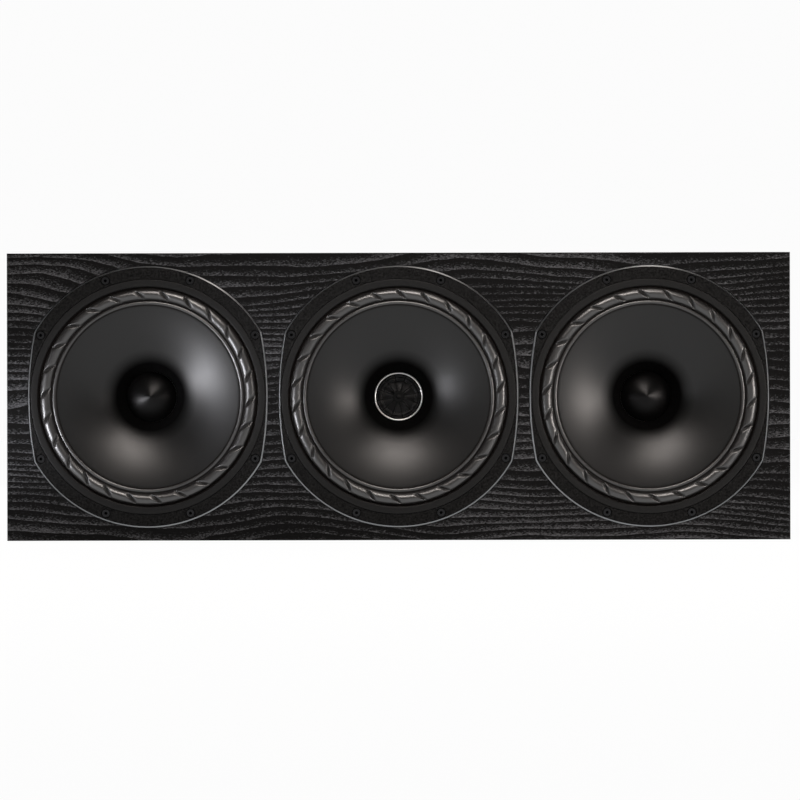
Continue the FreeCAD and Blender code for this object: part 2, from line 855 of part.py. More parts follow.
def driver_screws():
    screw = turned("driver_screw", [
        ("0", "head_front"),
        ("head_radius", "head_front"),
        ("head_radius", "head_seat"),
        ("screw_radius", "head_seat"),
        ("screw_radius", "screw_tip - screw_point"),
        ("0", "screw_tip"),
    ])
    hex_socket(screw, "head_front")
    doc.recompute()
    front = value("-cabinet_depth / 2")
    middle = value("cabinet_height / 2")
    spots = []
    for side in SIDES.values():
        for across, up in screw_places():
            spots.append(FreeCAD.Vector(value(f"{side} + {across}"), front, middle + value(up)))
    scatter("driver_screws", screw, spots)


def scatter(label, master, spots):
    """Group of equal small parts, one at every spot."""
    copies = [master.Shape.translated(spot) for spot in spots]
    group = doc.addObject("Part::Feature", label)
    group.Shape = Part.makeCompound(copies)
    keep(group)


def at_middle(body):
    keep(at_driver(body, "0"))


def tweeter_plug():
    """Phase plug: rim, hub with a nub, and fins between them."""
    body = new_body("tweeter_plug")
    turn(body, [
        ("plug_inner", "plug_front"),
        ("plug_outer", "plug_front"),
        ("plug_outer", "ring_back"),
        ("pole_radius", "ring_back"),
        ("pole_radius", "plug_back"),
        ("plug_inner", "plug_back"),
    ])
    fin = outline(sketch_in(body, "XZ_Plane", "fin_front"), [
        ("0 - fin_thickness / 2", "hub_radius / 2"),
        ("fin_thickness / 2", "hub_radius / 2"),
        ("fin_thickness / 2", "plug_inner + plug_wall / 2"),
        ("0 - fin_thickness / 2", "plug_inner + plug_wall / 2"),
    ])
    pattern(body, pad(body, fin, "fin_height"), FINS)
    turn(body, [
        ("0", "hub_front - nub_height"),
        ("nub_radius / 2", "hub_front - nub_height"),
        ("nub_radius", "hub_front - nub_height / 2"),
        ("nub_radius", "hub_front"),
        ("hub_radius", "fin_front + hub_lead"),
        ("hub_radius", "fin_back"),
        ("0", "fin_back"),
    ])
    at_middle(body)
    spun(body, "fin_turn")


def tweeter():
    at_middle(turned("tweeter_ring", [
        ("ring_inner", "ring_back"),
        ("ring_inner", "ring_shoulder", "ring_width / 2", 1),
        ("ring_inner + ring_width / 2", "ring_front", "ring_width / 2", 1),
        ("ring_outer", "ring_shoulder"),
        ("ring_outer", "ring_back"),
    ]))
    tweeter_plug()
    at_middle(turned("tweeter_surround", [
        ("dome_edge", "cup_front"),
        ("dome_edge", "plug_back"),
        ("dome_roll_middle - dome_roll_foot", "plug_back", "dome_roll_radius", 1),
        ("dome_roll_middle", "cup_front - dome_roll_radius", "dome_roll_radius", 1),
        ("dome_roll_middle + dome_roll_foot", "plug_back"),
        ("film_outer", "plug_back"),
        ("film_outer", "cup_front"),
        ("dome_roll_middle + dome_roll_hollow", "cup_front", "dome_roll_hollow", -1),
        ("dome_roll_middle", "cup_front - dome_roll_hollow", "dome_roll_hollow", -1),
        ("dome_roll_middle - dome_roll_hollow", "cup_front"),
    ]))
    inner = "(dome_radius - dome_wall)"
    rise = "(dome_height - dome_wall)"
    at_middle(turned("tweeter_dome", [
        ("0", "cup_front - dome_height", "(dome_height ^ 2 + dome_radius ^ 2) / (2 * dome_height)", 1),
        ("dome_radius", "cup_front"),
        (inner, "cup_front", f"({rise} ^ 2 + {inner} ^ 2) / (2 * {rise})", -1),
        ("0", f"cup_front - {rise}"),
    ]))
    at_middle(ring("tweeter_coil", "dome_coil_inner", "dome_coil_outer", "cup_front",
                   "cup_front + dome_coil_height"))
    disc = "dome_coil_inner - dome_coil_gap"
    at_middle(ring("tweeter_plate", "0", disc, "pole_disc_front", "pole_disc_back"))
    at_middle(ring("tweeter_magnet", "0", disc + " - dome_coil_gap", "pole_disc_back", "cup_floor"))
    at_middle(turned("tweeter_cup", [
        ("dome_coil_outer + dome_coil_gap", "cup_front"),
        ("pole_radius", "cup_front"),
        ("pole_radius", "plate_front"),
        ("0", "plate_front"),
        ("0", "cup_floor"),
        ("dome_coil_outer + dome_coil_gap", "cup_floor"),
    ]))


def at_rear(body, across):
    return keep(seat(body, across, "rear_face", "cabinet_height / 2"))


def ports():
    """Tubes with a flared mouth and a flange on the rear panel."""
    for side in ("left", "right"):
        at_rear(turned(side + "_port", [
            ("port_radius", "0 - port_length"),
            ("port_radius + port_wall", "0 - port_length"),
            ("port_radius + port_wall", "0"),
            ("port_flange_radius", "0"),
            ("port_flange_radius", "port_flange_height / 2"),
            ("port_flange_radius - port_flange_height / 2", "port_flange_height"),
            ("port_radius + port_flare", "port_flange_height", "port_flare", 1),
            ("port_radius", "port_flange_height - port_flare"),
        ]), SIDES[side])


def terminal_plate():
    body = at_rear(new_body("terminal_plate"), "0")
    face = sketch_in(body, "XZ_Plane")
    rectangle(face, "terminal_width", "terminal_height")
    slab = pad(body, face, "terminal_thickness")
    dress(body, slab, "Fillet", "terminal_corner", runs_along)
    holes = sketch_in(body, "XZ_Plane")
    for sign in ("-1", "1"):
        circle(holes, f"{sign} * post_spacing / 2", "0", "post_radius + post_gap")
    for right, up in QUARTERS:
        hole = "plate_screw_radius + pilot_gap"
        circle(holes, f"{right} * plate_screw_across", f"{up} * plate_screw_up", hole)
    pocket(body, holes, "terminal_thickness")


def plate_screws():
    screw = turned("plate_screw", [
        ("0", "terminal_thickness + plate_head_height"),
        ("plate_head_radius - plate_head_bevel", "terminal_thickness + plate_head_height"),
        ("plate_head_radius", "terminal_thickness + plate_head_height - plate_head_bevel"),
        ("plate_head_radius", "terminal_thickness"),
        ("plate_screw_radius", "terminal_thickness"),
        ("plate_screw_radius", "terminal_thickness - plate_screw_length"),
        ("0", "terminal_thickness - plate_screw_length"),
    ])
    hex_socket(screw, "terminal_thickness + plate_head_height - socket_sink")
    doc.recompute()
    spots = []
    for right, up in QUARTERS:
        across = right * value("plate_screw_across")
        height = value("cabinet_height / 2") + up * value("plate_screw_up")
        spots.append(FreeCAD.Vector(across, value("rear_face"), height))
    scatter("plate_screws", screw, spots)


def post(label, across):
    """Binding post with its collar and lock nut, a socket in its end and a cross hole for bare wire."""
    body = turned(label, [
        ("0", "0 - post_tail"),
        ("post_radius", "0 - post_tail"),
        ("post_radius", "0 - lock_nut_height"),
        ("lock_nut_radius", "0 - lock_nut_height"),
        ("lock_nut_radius", "0"),
        ("post_radius", "0"),
        ("post_radius", "terminal_thickness"),
        ("collar_radius", "terminal_thickness"),
        ("collar_radius", "collar_back"),
        ("post_radius", "collar_back"),
        ("post_radius", "post_end"),
        ("socket_radius", "post_end"),
        ("socket_radius", "post_end - socket_depth"),
        ("0", "post_end - socket_depth"),
    ])
    sketch = sketch_in(body, "XY_Plane")
    circle(sketch, "0", "wire_hole_along", "wire_hole_radius")
    hole = body.newObject("PartDesign::Pocket", "WireHole")
    hole.Profile = sketch
    hole.Type = 1
    hole.Midplane = True
    at_rear(body, across)


def grip(label, across):
    """Fluted nut that turns on the post."""
    body = turned(label, [
        ("post_radius + grip_gap", "grip_start"),
        ("grip_radius - grip_bevel", "grip_start"),
        ("grip_radius", "grip_start + grip_bevel"),
        ("grip_radius", "post_end - grip_bevel"),
        ("grip_radius - grip_bevel", "post_end"),
        ("post_radius + grip_gap", "post_end"),
    ])
    flute = sketch_in(body, "XZ_Plane", "grip_start")
    circle(flute, "0", "grip_radius + flute_radius / 2", "flute_radius")
    pattern(body, pocket(body, flute, "grip_length"), FLUTES)
    at_rear(body, across)


def terminals():
    terminal_plate()
    plate_screws()
    for colour, sign in (("red", "-1"), ("black", "1")):
        post(colour + "_post", f"{sign} * post_spacing / 2")
        grip(colour + "_cap", f"{sign} * post_spacing / 2")


def crossover():
    keep(box("crossover_board", "board_width", "board_depth", "board_thickness",
             "0 - board_width / 2", "board_back - board_depth / 2", "panel_thickness"))
    coils = []
    cans = []
    for number, sign in enumerate(("-1", "1")):
        across = f"{sign} * inductor_spread"
        spot = (across, "board_back - inductor_front", "board_top")
        drum = cylinder(f"drum{number}", "inductor_radius", "inductor_height", *spot)
        core = cylinder(f"core{number}", "inductor_hole_radius", "inductor_height", *spot)
        coils.append(cut(f"inductor{number}", drum, core))
        can = cylinder(f"can{number}", "capacitor_radius", "capacitor_length", f"{sign} * capacitor_spread",
                       "board_back + capacitor_back", "board_top + capacitor_radius + glue_gap")
        can.Placement.Rotation = FreeCAD.Rotation(FreeCAD.Vector(1, 0, 0), 90)
        cans.append(can)
    gather("inductors", coils)
    gather("capacitors", cans)
    bars = []
    for number in range(RESISTORS):
        bars.append(box(f"bar{number}", "resistor_length", "resistor_side", "resistor_side",
                        "0 - resistor_length / 2", f"board_back + {number} * resistor_pitch", "board_top"))
    gather("resistors", bars)


def lead(points):
    """Round wire through points, with an arc of the lead's bend at each corner."""
    bend = value("lead_bend")
    edges = []
    last = points[0]
    for before, corner, after in zip(points, points[1:], points[2:]):
        inward = (before - corner).normalize()
        outward = (after - corner).normalize()
        start = corner + inward * bend
        stop = corner + outward * bend
        middle = corner + (inward + outward) * (bend * (1 - math.sqrt(0.5)))
        edges.append(Part.makeLine(last, start))
        edges.append(Part.Arc(start, middle, stop).toShape())
        last = stop
    edges.append(Part.makeLine(last, points[-1]))
    ring = Part.makeCircle(value("lead_radius"), points[0], points[1] - points[0])
    return Part.Wire(edges).makePipeShell([Part.Wire([ring])], True, True)


def internal_leads():
    """Wires from the posts to the board and on to each driver and the tweeter."""
    spot = FreeCAD.Vector
    board = value("board_top")
    rise = value("board_top + lead_rise")
    back = value("board_back")
    pot = value("(ledge_back + plate_front) / 2 - cabinet_depth / 2")
    under = value("cabinet_height / 2 - pot_outer - glue_gap")
    middle = value("cabinet_height / 2")
    leads = []
    for sign in (-1, 1):
        start = sign * value("side_lead_spread")
        reach = sign * value("driver_pitch")
        leads.append(lead([spot(start, back, board), spot(start, back, rise), spot(reach, back, rise),
                           spot(reach, pot, rise), spot(reach, pot, under)]))
        across = sign * value("post_spacing / 2")
        down = back + value("post_lead_back")
        leads.append(lead([spot(across, value("rear_face - post_tail"), middle), spot(across, down, middle),
                           spot(across, down, board)]))
    front = back - value("mid_lead_front")
    leads.append(lead([spot(0, front, board), spot(0, front, rise), spot(0, pot, rise), spot(0, pot, under)]))
    stand = back + value("tweeter_lead_back")
    cup = value("plate_front - cabinet_depth / 2")
    leads.append(lead([spot(0, stand, board), spot(0, stand, middle), spot(0, cup, middle)]))
    group = doc.addObject("Part::Feature", "internal_leads")
    group.Shape = Part.makeCompound(leads)
    keep(group)


def damping_pads():
    """Felt slabs on the outer side panels and under the top panel of the middle chamber."""
    depth = "chamber_depth - pad_front - pad_back"
    along = "baffle_inside + pad_front"
    height = "chamber_height - 2 * pad_margin"
    up = "panel_thickness + pad_margin"
    wall = "(cabinet_width / 2 - panel_thickness)"
    slabs = [
        box("left_pad", "pad_thickness", depth, height, "0 - " + wall, along, up),
        box("right_pad", "pad_thickness", depth, height, wall + " - pad_thickness", along, up),
    ]
    width = "driver_pitch - divider_thickness - 2 * pad_margin"
    slabs.append(box("top_pad", width, depth, "pad_thickness", f"0 - ({width}) / 2", along,
                     "cabinet_height - panel_thickness - pad_thickness"))
    gather("damping_pads", slabs)


def write_parts():
    doc.recompute()
    for thing in doc.Objects:
        if "Invalid" in thing.State or "Error" in thing.State:
            raise RuntimeError(f"{thing.Label}: {thing.State}")
    os.makedirs("parts", exist_ok=True)
    for thing in kept:
        if thing.Shape.isNull() or not thing.Shape.isValid():
            raise RuntimeError(f"{thing.Label}: shape")
        thing.Shape.exportStep(f"parts/{thing.Label}.step")


fill_sizes()
front_baffle()
panels()
rear_panel()
dividers()
drivers()
driver_screws()
tweeter()
ports()
terminals()
crossover()
internal_leads()
damping_pads()
write_parts()
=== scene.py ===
import math

import bmesh
import bpy
from bpy.props import FloatProperty, FloatVectorProperty, IntProperty, PointerProperty
from mathutils import Matrix, Vector, noise


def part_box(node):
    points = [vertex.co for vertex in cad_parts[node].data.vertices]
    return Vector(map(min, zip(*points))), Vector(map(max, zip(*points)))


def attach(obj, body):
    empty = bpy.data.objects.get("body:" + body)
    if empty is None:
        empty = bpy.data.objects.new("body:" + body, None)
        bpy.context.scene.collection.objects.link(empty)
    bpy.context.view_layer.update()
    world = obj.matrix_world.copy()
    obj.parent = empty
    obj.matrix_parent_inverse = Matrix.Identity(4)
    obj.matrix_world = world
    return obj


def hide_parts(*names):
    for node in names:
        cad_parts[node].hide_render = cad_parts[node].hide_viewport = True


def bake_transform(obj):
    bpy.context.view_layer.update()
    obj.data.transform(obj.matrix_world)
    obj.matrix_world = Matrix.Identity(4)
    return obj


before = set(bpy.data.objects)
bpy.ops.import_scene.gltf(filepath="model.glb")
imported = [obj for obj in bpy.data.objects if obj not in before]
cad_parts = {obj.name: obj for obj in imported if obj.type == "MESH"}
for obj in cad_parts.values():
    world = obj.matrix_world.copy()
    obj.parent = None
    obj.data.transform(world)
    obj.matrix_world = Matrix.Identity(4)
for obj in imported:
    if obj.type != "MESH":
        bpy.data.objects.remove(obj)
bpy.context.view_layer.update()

bl_info = {
    "name": "LCR Speaker",
    "version": (1, 0, 0),
    "blender": (4, 5, 0),
    "location": "View3D > Sidebar > Speaker",
    "description": "Dresses a three driver LCR speaker with its turned skins and finishes",
    "category": "Add Mesh",
}

MM = 0.001
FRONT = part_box("front_baffle")[0].y
SIDES = ("left", "mid", "right")
WOOFERS = ("left", "right")
AXIS = Vector((0, 1, 0))

# Points nearer than the join are one point, and edges that fold more than the crease stay sharp.
JOIN = 0.002 * MM
CREASE = math.radians(32)

# Side of an arc's way on which its centre lies, and the steps that arcs and whole turns are drawn in.
LEFT, RIGHT = 1, -1
ARC_STEPS = {"round": 3, "corner": 4, "bevel": 6, "bead": 8, "roll": 14, "hollow": 9, "flare": 28,
             "throat": 20, "cap": 30, "ring": 6, "nub": 6, "film": 8, "spider": 64}
TURN_STEPS = {"trim": 192, "cone": 256, "cap": 128, "rim": 144, "hub": 96, "ring": 160, "film": 128,
              "spider": 160}
ROUND_SEGMENTS = 3
EASE_SEGMENTS = 2

# Radius of a bowed edge beside the size that it rounds.
BEVEL_BOW = 1.2
BEAD_BOW = 1.25
NUB_BOW = 1.3
FIN_ROUND = 0.6

# Fixed widths and depths of the mouldings.
TRIM_WIDTH = 6.1 * MM
LIP_WIDTH = 5 * MM
RING_WIDTH = 1.4 * MM
GLUE = 0.05 * MM
NUB_LEAD = 0.9 * MM
FIN_SET = 0.6 * MM
SPIDER_LAND = 6.7 * MM
WINDING_HEIGHT = 16 * MM

# Turn of each surround's first pleat in degrees, columns for each pleat, and the spacing of those at a
# valley beside even spacing.
PLEAT_TURNS = {"left": 9.2, "mid": 1.6, "right": 10.8}
PLEAT_COLUMNS = 36
CROWDING = 0.45

# Cuts of the felt pads' faces, and the width in millimetres and height of their lumps.
PAD_CUTS = 6
LUMP_WIDTH = 30
FELT_LUMP = 0.8 * MM

# How far each pattern of the veneer runs along, into and across the board, in millimetres.
SWAY_RUN = (300, 150, 110)
RIPPLE_RUN = (30, 20, 10)
PATCH_RUN = (120, 60, 42)
PORE_RUN = (2.1, 1.3, 0.78)
RING_PITCH = 7.4 * MM
RING_SWAY = 78 * MM
RING_RIPPLE = 3 * MM

# Most of a noise lies in its span, and a band of the wave texture is this wide at a scale of one.
NOISE_SPAN = (0.3, 0.7)
WAVE_BAND = math.tau / 20

# Sine of 45 degrees, and how far a normal may miss it on the flange's cut edge.
DIAGONAL = math.sqrt(0.5)
CUT_BAND = 0.12

# Specular level of veneer and powder coat.
DULL_LEVEL = 0.04

# Mesh attribute with the share of a skin's sheen, and the depths between which that share falls away:
# painted shade that darkens throats and creases.
SHADED_SHEEN = "sheen"
CREASE_SHADE = (0.1 * MM, 0.8 * MM)
THROAT_SHADE = (16 * MM, 25 * MM)
CAP_SHADE = (26 * MM, 33 * MM)

# Depth of the screws' sockets that is left unshaded, and the depth below it over which painted shade
# turns them black.
SOCKET_LIP = 0.5 * MM
SOCKET_SHADE_FADE = 0.3 * MM

# Depth ahead of the whole speaker, for windings that have no bare former.
AHEAD = -1.0

# Stage: the paper's own glow and half width, the world's light, and a camera with its roll in degrees.
PAPER_GLOW = 0.97
FLOOR_REACH = 12.0
WORLD_LEVEL = 0.04
SENSOR_MM = 36.0
CAMERA_DISTANCE = 2.45
VIEW_WIDTH = 0.69565
VIEW_CENTRE = (1.2 * MM, 121.9 * MM)
CAMERA_ROLL = 0.117

# Place, aim, width, height, power in watts, spread in degrees and colour of each lamp.
LIGHTS = {
    "top_light": ((0.02, -0.92, 1.0), (0, FRONT, 0.125), 0.72, 0.3, 12.5, 180, "#fff6f0"),
    "left_light": ((-0.48, -0.365, 0.04), (-0.218, FRONT, 0.125), 0.26, 0.09, 0.17, 38, "#f9f9ff"),
    "right_light": ((0.72, -0.56, 0.17), (0.218, FRONT, 0.125), 0.3, 0.3, 0.2, 24, "#fdf4ee"),
    "rim_light": ((0.35, FRONT, 1.3), (0, FRONT, 0.2), 0.9, 0.25, 3.0, 180, "#fff6ee"),
    "left_wing": ((-1.7, -0.2, 0.5), (0, FRONT, 0.125), 0.8, 1.0, 1.6, 180, "#ffffff"),
    "right_wing": ((1.7, -0.2, 0.5), (0, FRONT, 0.125), 0.8, 1.0, 1.6, 180, "#ffffff"),
    "left_end": ((-1.35, 0.35, 0.6), (-0.34, 0, 0.125), 0.6, 0.6, 9.0, 180, "#ffffff"),
    "right_end": ((1.35, 0.35, 0.6), (0.34, 0, 0.125), 0.6, 0.6, 9.0, 180, "#ffffff"),
    "back_light": ((-0.4, 1.35, 0.55), (0, -FRONT, 0.125), 0.9, 0.5, 12.0, 180, "#ffffff"),
}


def linear(code):
    """Scene colour of an sRGB hex value."""
    shades = []
    for place in (1, 3, 5):
        share = int(code[place:place + 2], 16) / 255
        shades.append(share / 12.92 if share <= 0.04045 else ((share + 0.055) / 1.055) ** 2.4)
    return shades + [1.0]


def length(name, description, millimetres):
    """Length property with its default in millimetres."""
    return FloatProperty(name=name, description=description, default=millimetres * MM, min=0,
                         precision=5, unit="LENGTH")


def count(name, description, number, least):
    """Whole number property with its default and its smallest value."""
    return IntProperty(name=name, description=description, default=number, min=least)


def angle(name, description, degrees):
    """Angle property with its default in degrees."""
    return FloatProperty(name=name, description=description, default=math.radians(degrees),
                         subtype="ANGLE")


def colour(name, description, code):
    """Colour property with its default as an sRGB hex value."""
    return FloatVectorProperty(name=name, description=description, default=linear(code), size=4,
                               min=0, max=1, subtype="COLOR")


class SpeakerSizes(bpy.types.PropertyGroup):
    """Sizes of the turned and moulded skins"""
    edge_round: length("Edge round", "Rounding of the cabinet's outer edges", 0.7)
    rim_radius: length("Cone rim", "Radius where the cone's flare starts", 79.3)
    knee_radius: length("Cone knee", "Radius where the flare turns into the throat", 36)
    neck_radius: length("Cone neck", "Radius of the cone on the coil former", 22.2)
    rim_angle: angle("Rim slope", "Slope of the flare at the rim", 12)
    knee_angle: angle("Knee slope", "Slope of the flare at the knee", 33)
    neck_angle: angle("Neck slope", "Slope of the throat at the neck", 66)
    cone_wall: length("Cone wall", "Thickness of the cone", 0.9)
    cap_curve: length("Cap curve", "Radius of the dust cap's bulging sides", 60)
    cap_wall: length("Cap wall", "Thickness of the dust cap", 0.8)
    roll_width: length("Roll width", "Width of the surround's half roll", 9.6)
    surround_wall: length("Surround wall", "Thickness of the surround's rubber", 0.9)
    bead_radius: length("Bead", "Half width of the bead on the surround's inner lip", 1.5)
    pleat_count: count("Pleats", "Slanted pleats round the roll", 26, 3)
    pleat_slant: angle("Pleat slant", "Turn of a pleat out of the radial direction", 45)
    pleat_depth: length("Pleat depth", "Depth of a pleat at the crown of the roll", 2.6)
    pleat_flank: angle("Pleat flank", "Slope of a pleat's two sides", 50)
    pleat_reach: length("Pleat reach", "Radius that a pleat's valley follows along its length", 60)
    pleat_soft: length("Pleat softness", "Rounding of the edges of a pleat", 0.5)
    valley_soft: length("Valley softness", "Rounding of the bottom of a pleat", 0.12)
    trim_bevel: length("Trim bevel", "Slope on the inner edge of the trim ring", 0.6)
    trim_round: length("Trim round", "Rounding of the trim ring's edges", 0.6)
    screw_ease: length("Screw ease", "Rounding of the screw heads' edges", 0.3)
    fin_count: count("Fins", "Fins of the phase plug", 12, 3)
    fin_thickness: length("Fin thickness", "Thickness of a phase plug fin", 1.2)
    fin_height: length("Fin height", "Height of a phase plug fin", 2.6)
    fin_turn: angle("Fin turn", "Turn of the fins out of the upright, clockwise", 19.5)
    plug_wall: length("Plug wall", "Thickness of the phase plug's rim", 1.4)
    hub_radius: length("Hub", "Radius of the phase plug's hub", 5.2)
    nub_radius: length("Nub", "Radius of the nub on the hub", 2.2)
    spider_folds: count("Spider folds", "Waves across the spider", 4, 1)
    spider_wave: length("Spider wave", "Height of the spider's waves either way", 2.2)
    spider_wall: length("Spider wall", "Thickness of the spider's cloth", 0.7)
    dome_film: length("Dome film", "Thickness of the tweeter's surround", 0.4)
    dome_roll: length("Dome roll", "Radius of the tweeter surround's roll", 1.5)
    pad_thickness: length("Pad thickness", "Thickness of the felt pads", 24)


class SpeakerColours(bpy.types.PropertyGroup):
    """Colours of the finishes"""
    veneer_dark: colour("Veneer dark", "Stained wood between the pores", "#0e0e0e")
    veneer_light: colour("Veneer light", "Grey flecks of the open pores", "#606164")
    casting: colour("Casting", "Powder coat of the frames", "#101010")
    edge: colour("Cut edge", "Machined edge of the flange", "#9c9ea0")
    rubber: colour("Rubber", "Moulded rubber of the surrounds", "#0f0d0c")
    trim: colour("Trim", "Moulded trim rings", "#161616")
    cone: colour("Cone", "Skin of cones, dust caps and phase plug", "#060606")
    ring: colour("Ring", "Turned metal ring of the tweeter", "#d6d5d3")
    plastic: colour("Plastic", "Moulded ports, terminal plate and black cap", "#0d0d0d")
    red: colour("Red cap", "Cap of the positive post", "#a81512")
    brass: colour("Posts", "Plated posts", "#d8b25a")


def sizes():
    """Sizes that the scene holds."""
    return bpy.context.scene.speaker_sizes


def colours():
    """Colours that the scene holds."""
    return bpy.context.scene.speaker_colours


def middle(node):
    """Centre of a node's box."""
    low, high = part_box(node)
    return (low + high) / 2


def radius(node):
    """Half the width of a node's box."""
    low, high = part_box(node)
    return (high.x - low.x) / 2


def depths(node):
    """Nearest and furthest depth of a node behind the baffle's front face."""
    low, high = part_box(node)
    return low.y - FRONT, high.y - FRONT


def on_axis(node):
    """Point of the node's own axis in the plane of the baffle's front face."""
    spot = middle(node)
    return Vector((spot.x, FRONT, spot.z))


# Mesh helpers


def arc(start, stop, size, steps, side):
    """Points after start along an arc under half a turn, its centre to the left or right of the way."""
    start, stop = Vector(start), Vector(stop)
    chord = stop - start
    left = Vector((-chord.y, chord.x)).normalized()
    away = math.sqrt(max(size ** 2 - (chord.length / 2) ** 2, 0))
    centre = (start + stop) / 2 + left * side * away
    swing = side * 2 * math.asin(min(chord.length / 2 / size, 1))
    arm = start - centre
    points = []
    for step in range(1, steps + 1):
        turn = swing * step / steps
        points.append((centre.x + arm.x * math.cos(turn) - arm.y * math.sin(turn),
                       centre.y + arm.x * math.sin(turn) + arm.y * math.cos(turn)))
    return points


def lathe(bm, profile, centre, steps):
    """Closed profile of radius and depth, turned about a driver's axis."""
    spots = [bm.verts.new(centre + Vector((out, depth, 0))) for out, depth in profile]
    edges = [bm.edges.new(pair) for pair in zip(spots, spots[1:] + spots[:1])]
    bmesh.ops.spin(bm, geom=spots + edges, cent=centre, axis=AXIS, angle=math.tau, steps=steps,
                   use_merge=True)
    bmesh.ops.dissolve_degenerate(bm, edges=bm.edges, dist=JOIN)


def close(bm):
    """Weld points that meet and turn the faces outwards."""
    bmesh.ops.remove_doubles(bm, verts=bm.verts, dist=JOIN)
    bmesh.ops.recalc_face_normals(bm, faces=bm.faces)


def soften(bm, edges, size):
    """Round edges and give back what that made."""
    return bmesh.ops.bevel(bm, geom=edges, offset=size, offset_type="OFFSET", segments=ROUND_SEGMENTS,
                           profile=0.5, affect="EDGES", material=-1, clamp_overlap=True)


def make_piece(name, bm, finish, slot, *nodes):
    """Object at the origin from a finished bmesh, standing for the CAD nodes."""
    close(bm)
    mesh = bpy.data.meshes.new(name)
    bm.to_mesh(mesh)
    bm.free()
    mesh.shade_smooth()
    mesh.set_sharp_from_angle(angle=CREASE)
    mesh.materials.append(finish)
    piece = bpy.data.objects.new(name, mesh)
    bpy.context.scene.collection.objects.link(piece)
    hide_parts(*nodes)
    return piece


def turned_piece(name, profile, node, steps, finish, slot, body):
    """Profile turned about a node's own axis, riding on a body in the node's place."""
    bm = bmesh.new()
    lathe(bm, profile, on_axis(node), steps)
    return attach(make_piece(name, bm, finish, slot, node), body)


def stretch(piece):
    """Move a piece's place into its mesh and leave the object at the origin."""
    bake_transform(piece)


def paint_shade_in_sheen(piece, near, far):
    """Painted shade: let the sheen of a skin die away between two depths behind the baffle's front face,
    so that throats and creases render dark.
    """
    shares = []
    for vertex in piece.data.vertices:
        shares.append(min(max((far - vertex.co.y + FRONT) / (far - near), 0), 1))
    piece.data.attributes.new(SHADED_SHEEN, "FLOAT", "POINT").data.foreach_set("value", shares)


def dress(finish, *nodes):
    """Give CAD nodes their finish."""
    for node in nodes:
        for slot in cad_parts[node].material_slots:
            slot.material = finish


def each(*names):
    """Nodes of these names in all three drivers."""
    return [f"{side}_{name}" for name in names for side in SIDES]


# Material helpers


def feed(tree, made, inputs):
    """Link or set a node's inputs."""
    for socket, source in inputs.items():
        if isinstance(source, bpy.types.NodeSocket):
            tree.links.new(source, made.inputs[socket])
        else:
            made.inputs[socket].default_value = source


def add(tree, kind, inputs, **settings):
    """Add a node with its settings, values and links."""
    made = tree.nodes.new("ShaderNode" + kind)
    for name, setting in settings.items():
        setattr(made, name, setting)
    feed(tree, made, inputs)
    return made.outputs


def new_finish(name):
    """Empty finish with its shader and the object's own coordinates."""
    finish = bpy.data.materials.new(name)
    finish.use_nodes = True
    tree = finish.node_tree
    return finish, tree, tree.nodes["Principled BSDF"], add(tree, "TexCoord", {})["Object"]


def per(millimetres):
    """Pattern scale that makes one feature this wide."""
    return 1 / (millimetres * MM)


def clouds(tree, place, width, detail=2.0, roughness=0.5):
    """Noise with features this wide in millimetres."""
    values = {"Vector": place, "Scale": per(width), "Detail": detail, "Roughness": roughness}
    return add(tree, "TexNoise", values)["Fac"]


def strands(tree, place, run, detail=2.0, roughness=0.5, distortion=0.0):
    """Noise with features that run this far along each axis in millimetres."""
    spread = add(tree, "Mapping", {"Vector": place, "Scale": [per(reach) for reach in run]})["Vector"]
    values = {"Vector": spread, "Scale": 1.0, "Detail": detail, "Roughness": roughness}
    return add(tree, "TexNoise", {**values, "Distortion": distortion})["Fac"]


def bands(tree, place, width, distortion, direction):
    """Waves with bands this wide in millimetres."""
    values = {"Vector": place, "Scale": per(width) * WAVE_BAND, "Distortion": distortion}
    return add(tree, "TexWave", values, bands_direction=direction)["Fac"]


def remap(tree, value, least, most, low=0.0, high=1.0):
    """Value between low and high brought between least and most."""
    ends = {"From Min": low, "From Max": high, "To Min": least, "To Max": most}
    return add(tree, "MapRange", {"Value": value, **ends})["Result"]


def calculate(tree, operation, *values):
    """Result of a Math node."""
    return add(tree, "Math", dict(enumerate(values)), operation=operation)["Value"]


def component(tree, vector, axis):
    """One coordinate of a vector."""
    return add(tree, "SeparateXYZ", {"Vector": vector})[axis]


def scaled(tree, shade, share):
    """Colour made darker or lighter by a share."""
    return add(tree, "VectorMath", {0: shade[:3], "Scale": share}, operation="SCALE")["Vector"]


def two_tone(tree, share, first, second):
    """Colour between two by a share."""
    return add(tree, "Mix", {0: share, 6: first, 7: second}, data_type="RGBA")[2]


def bumps(tree, height, strength, lift, **settings):
    """Normal of a relief that is this high in millimetres."""
    values = {"Height": height, "Strength": strength, "Distance": lift * MM}
    return add(tree, "Bump", values, **settings)["Normal"]


# Finishes


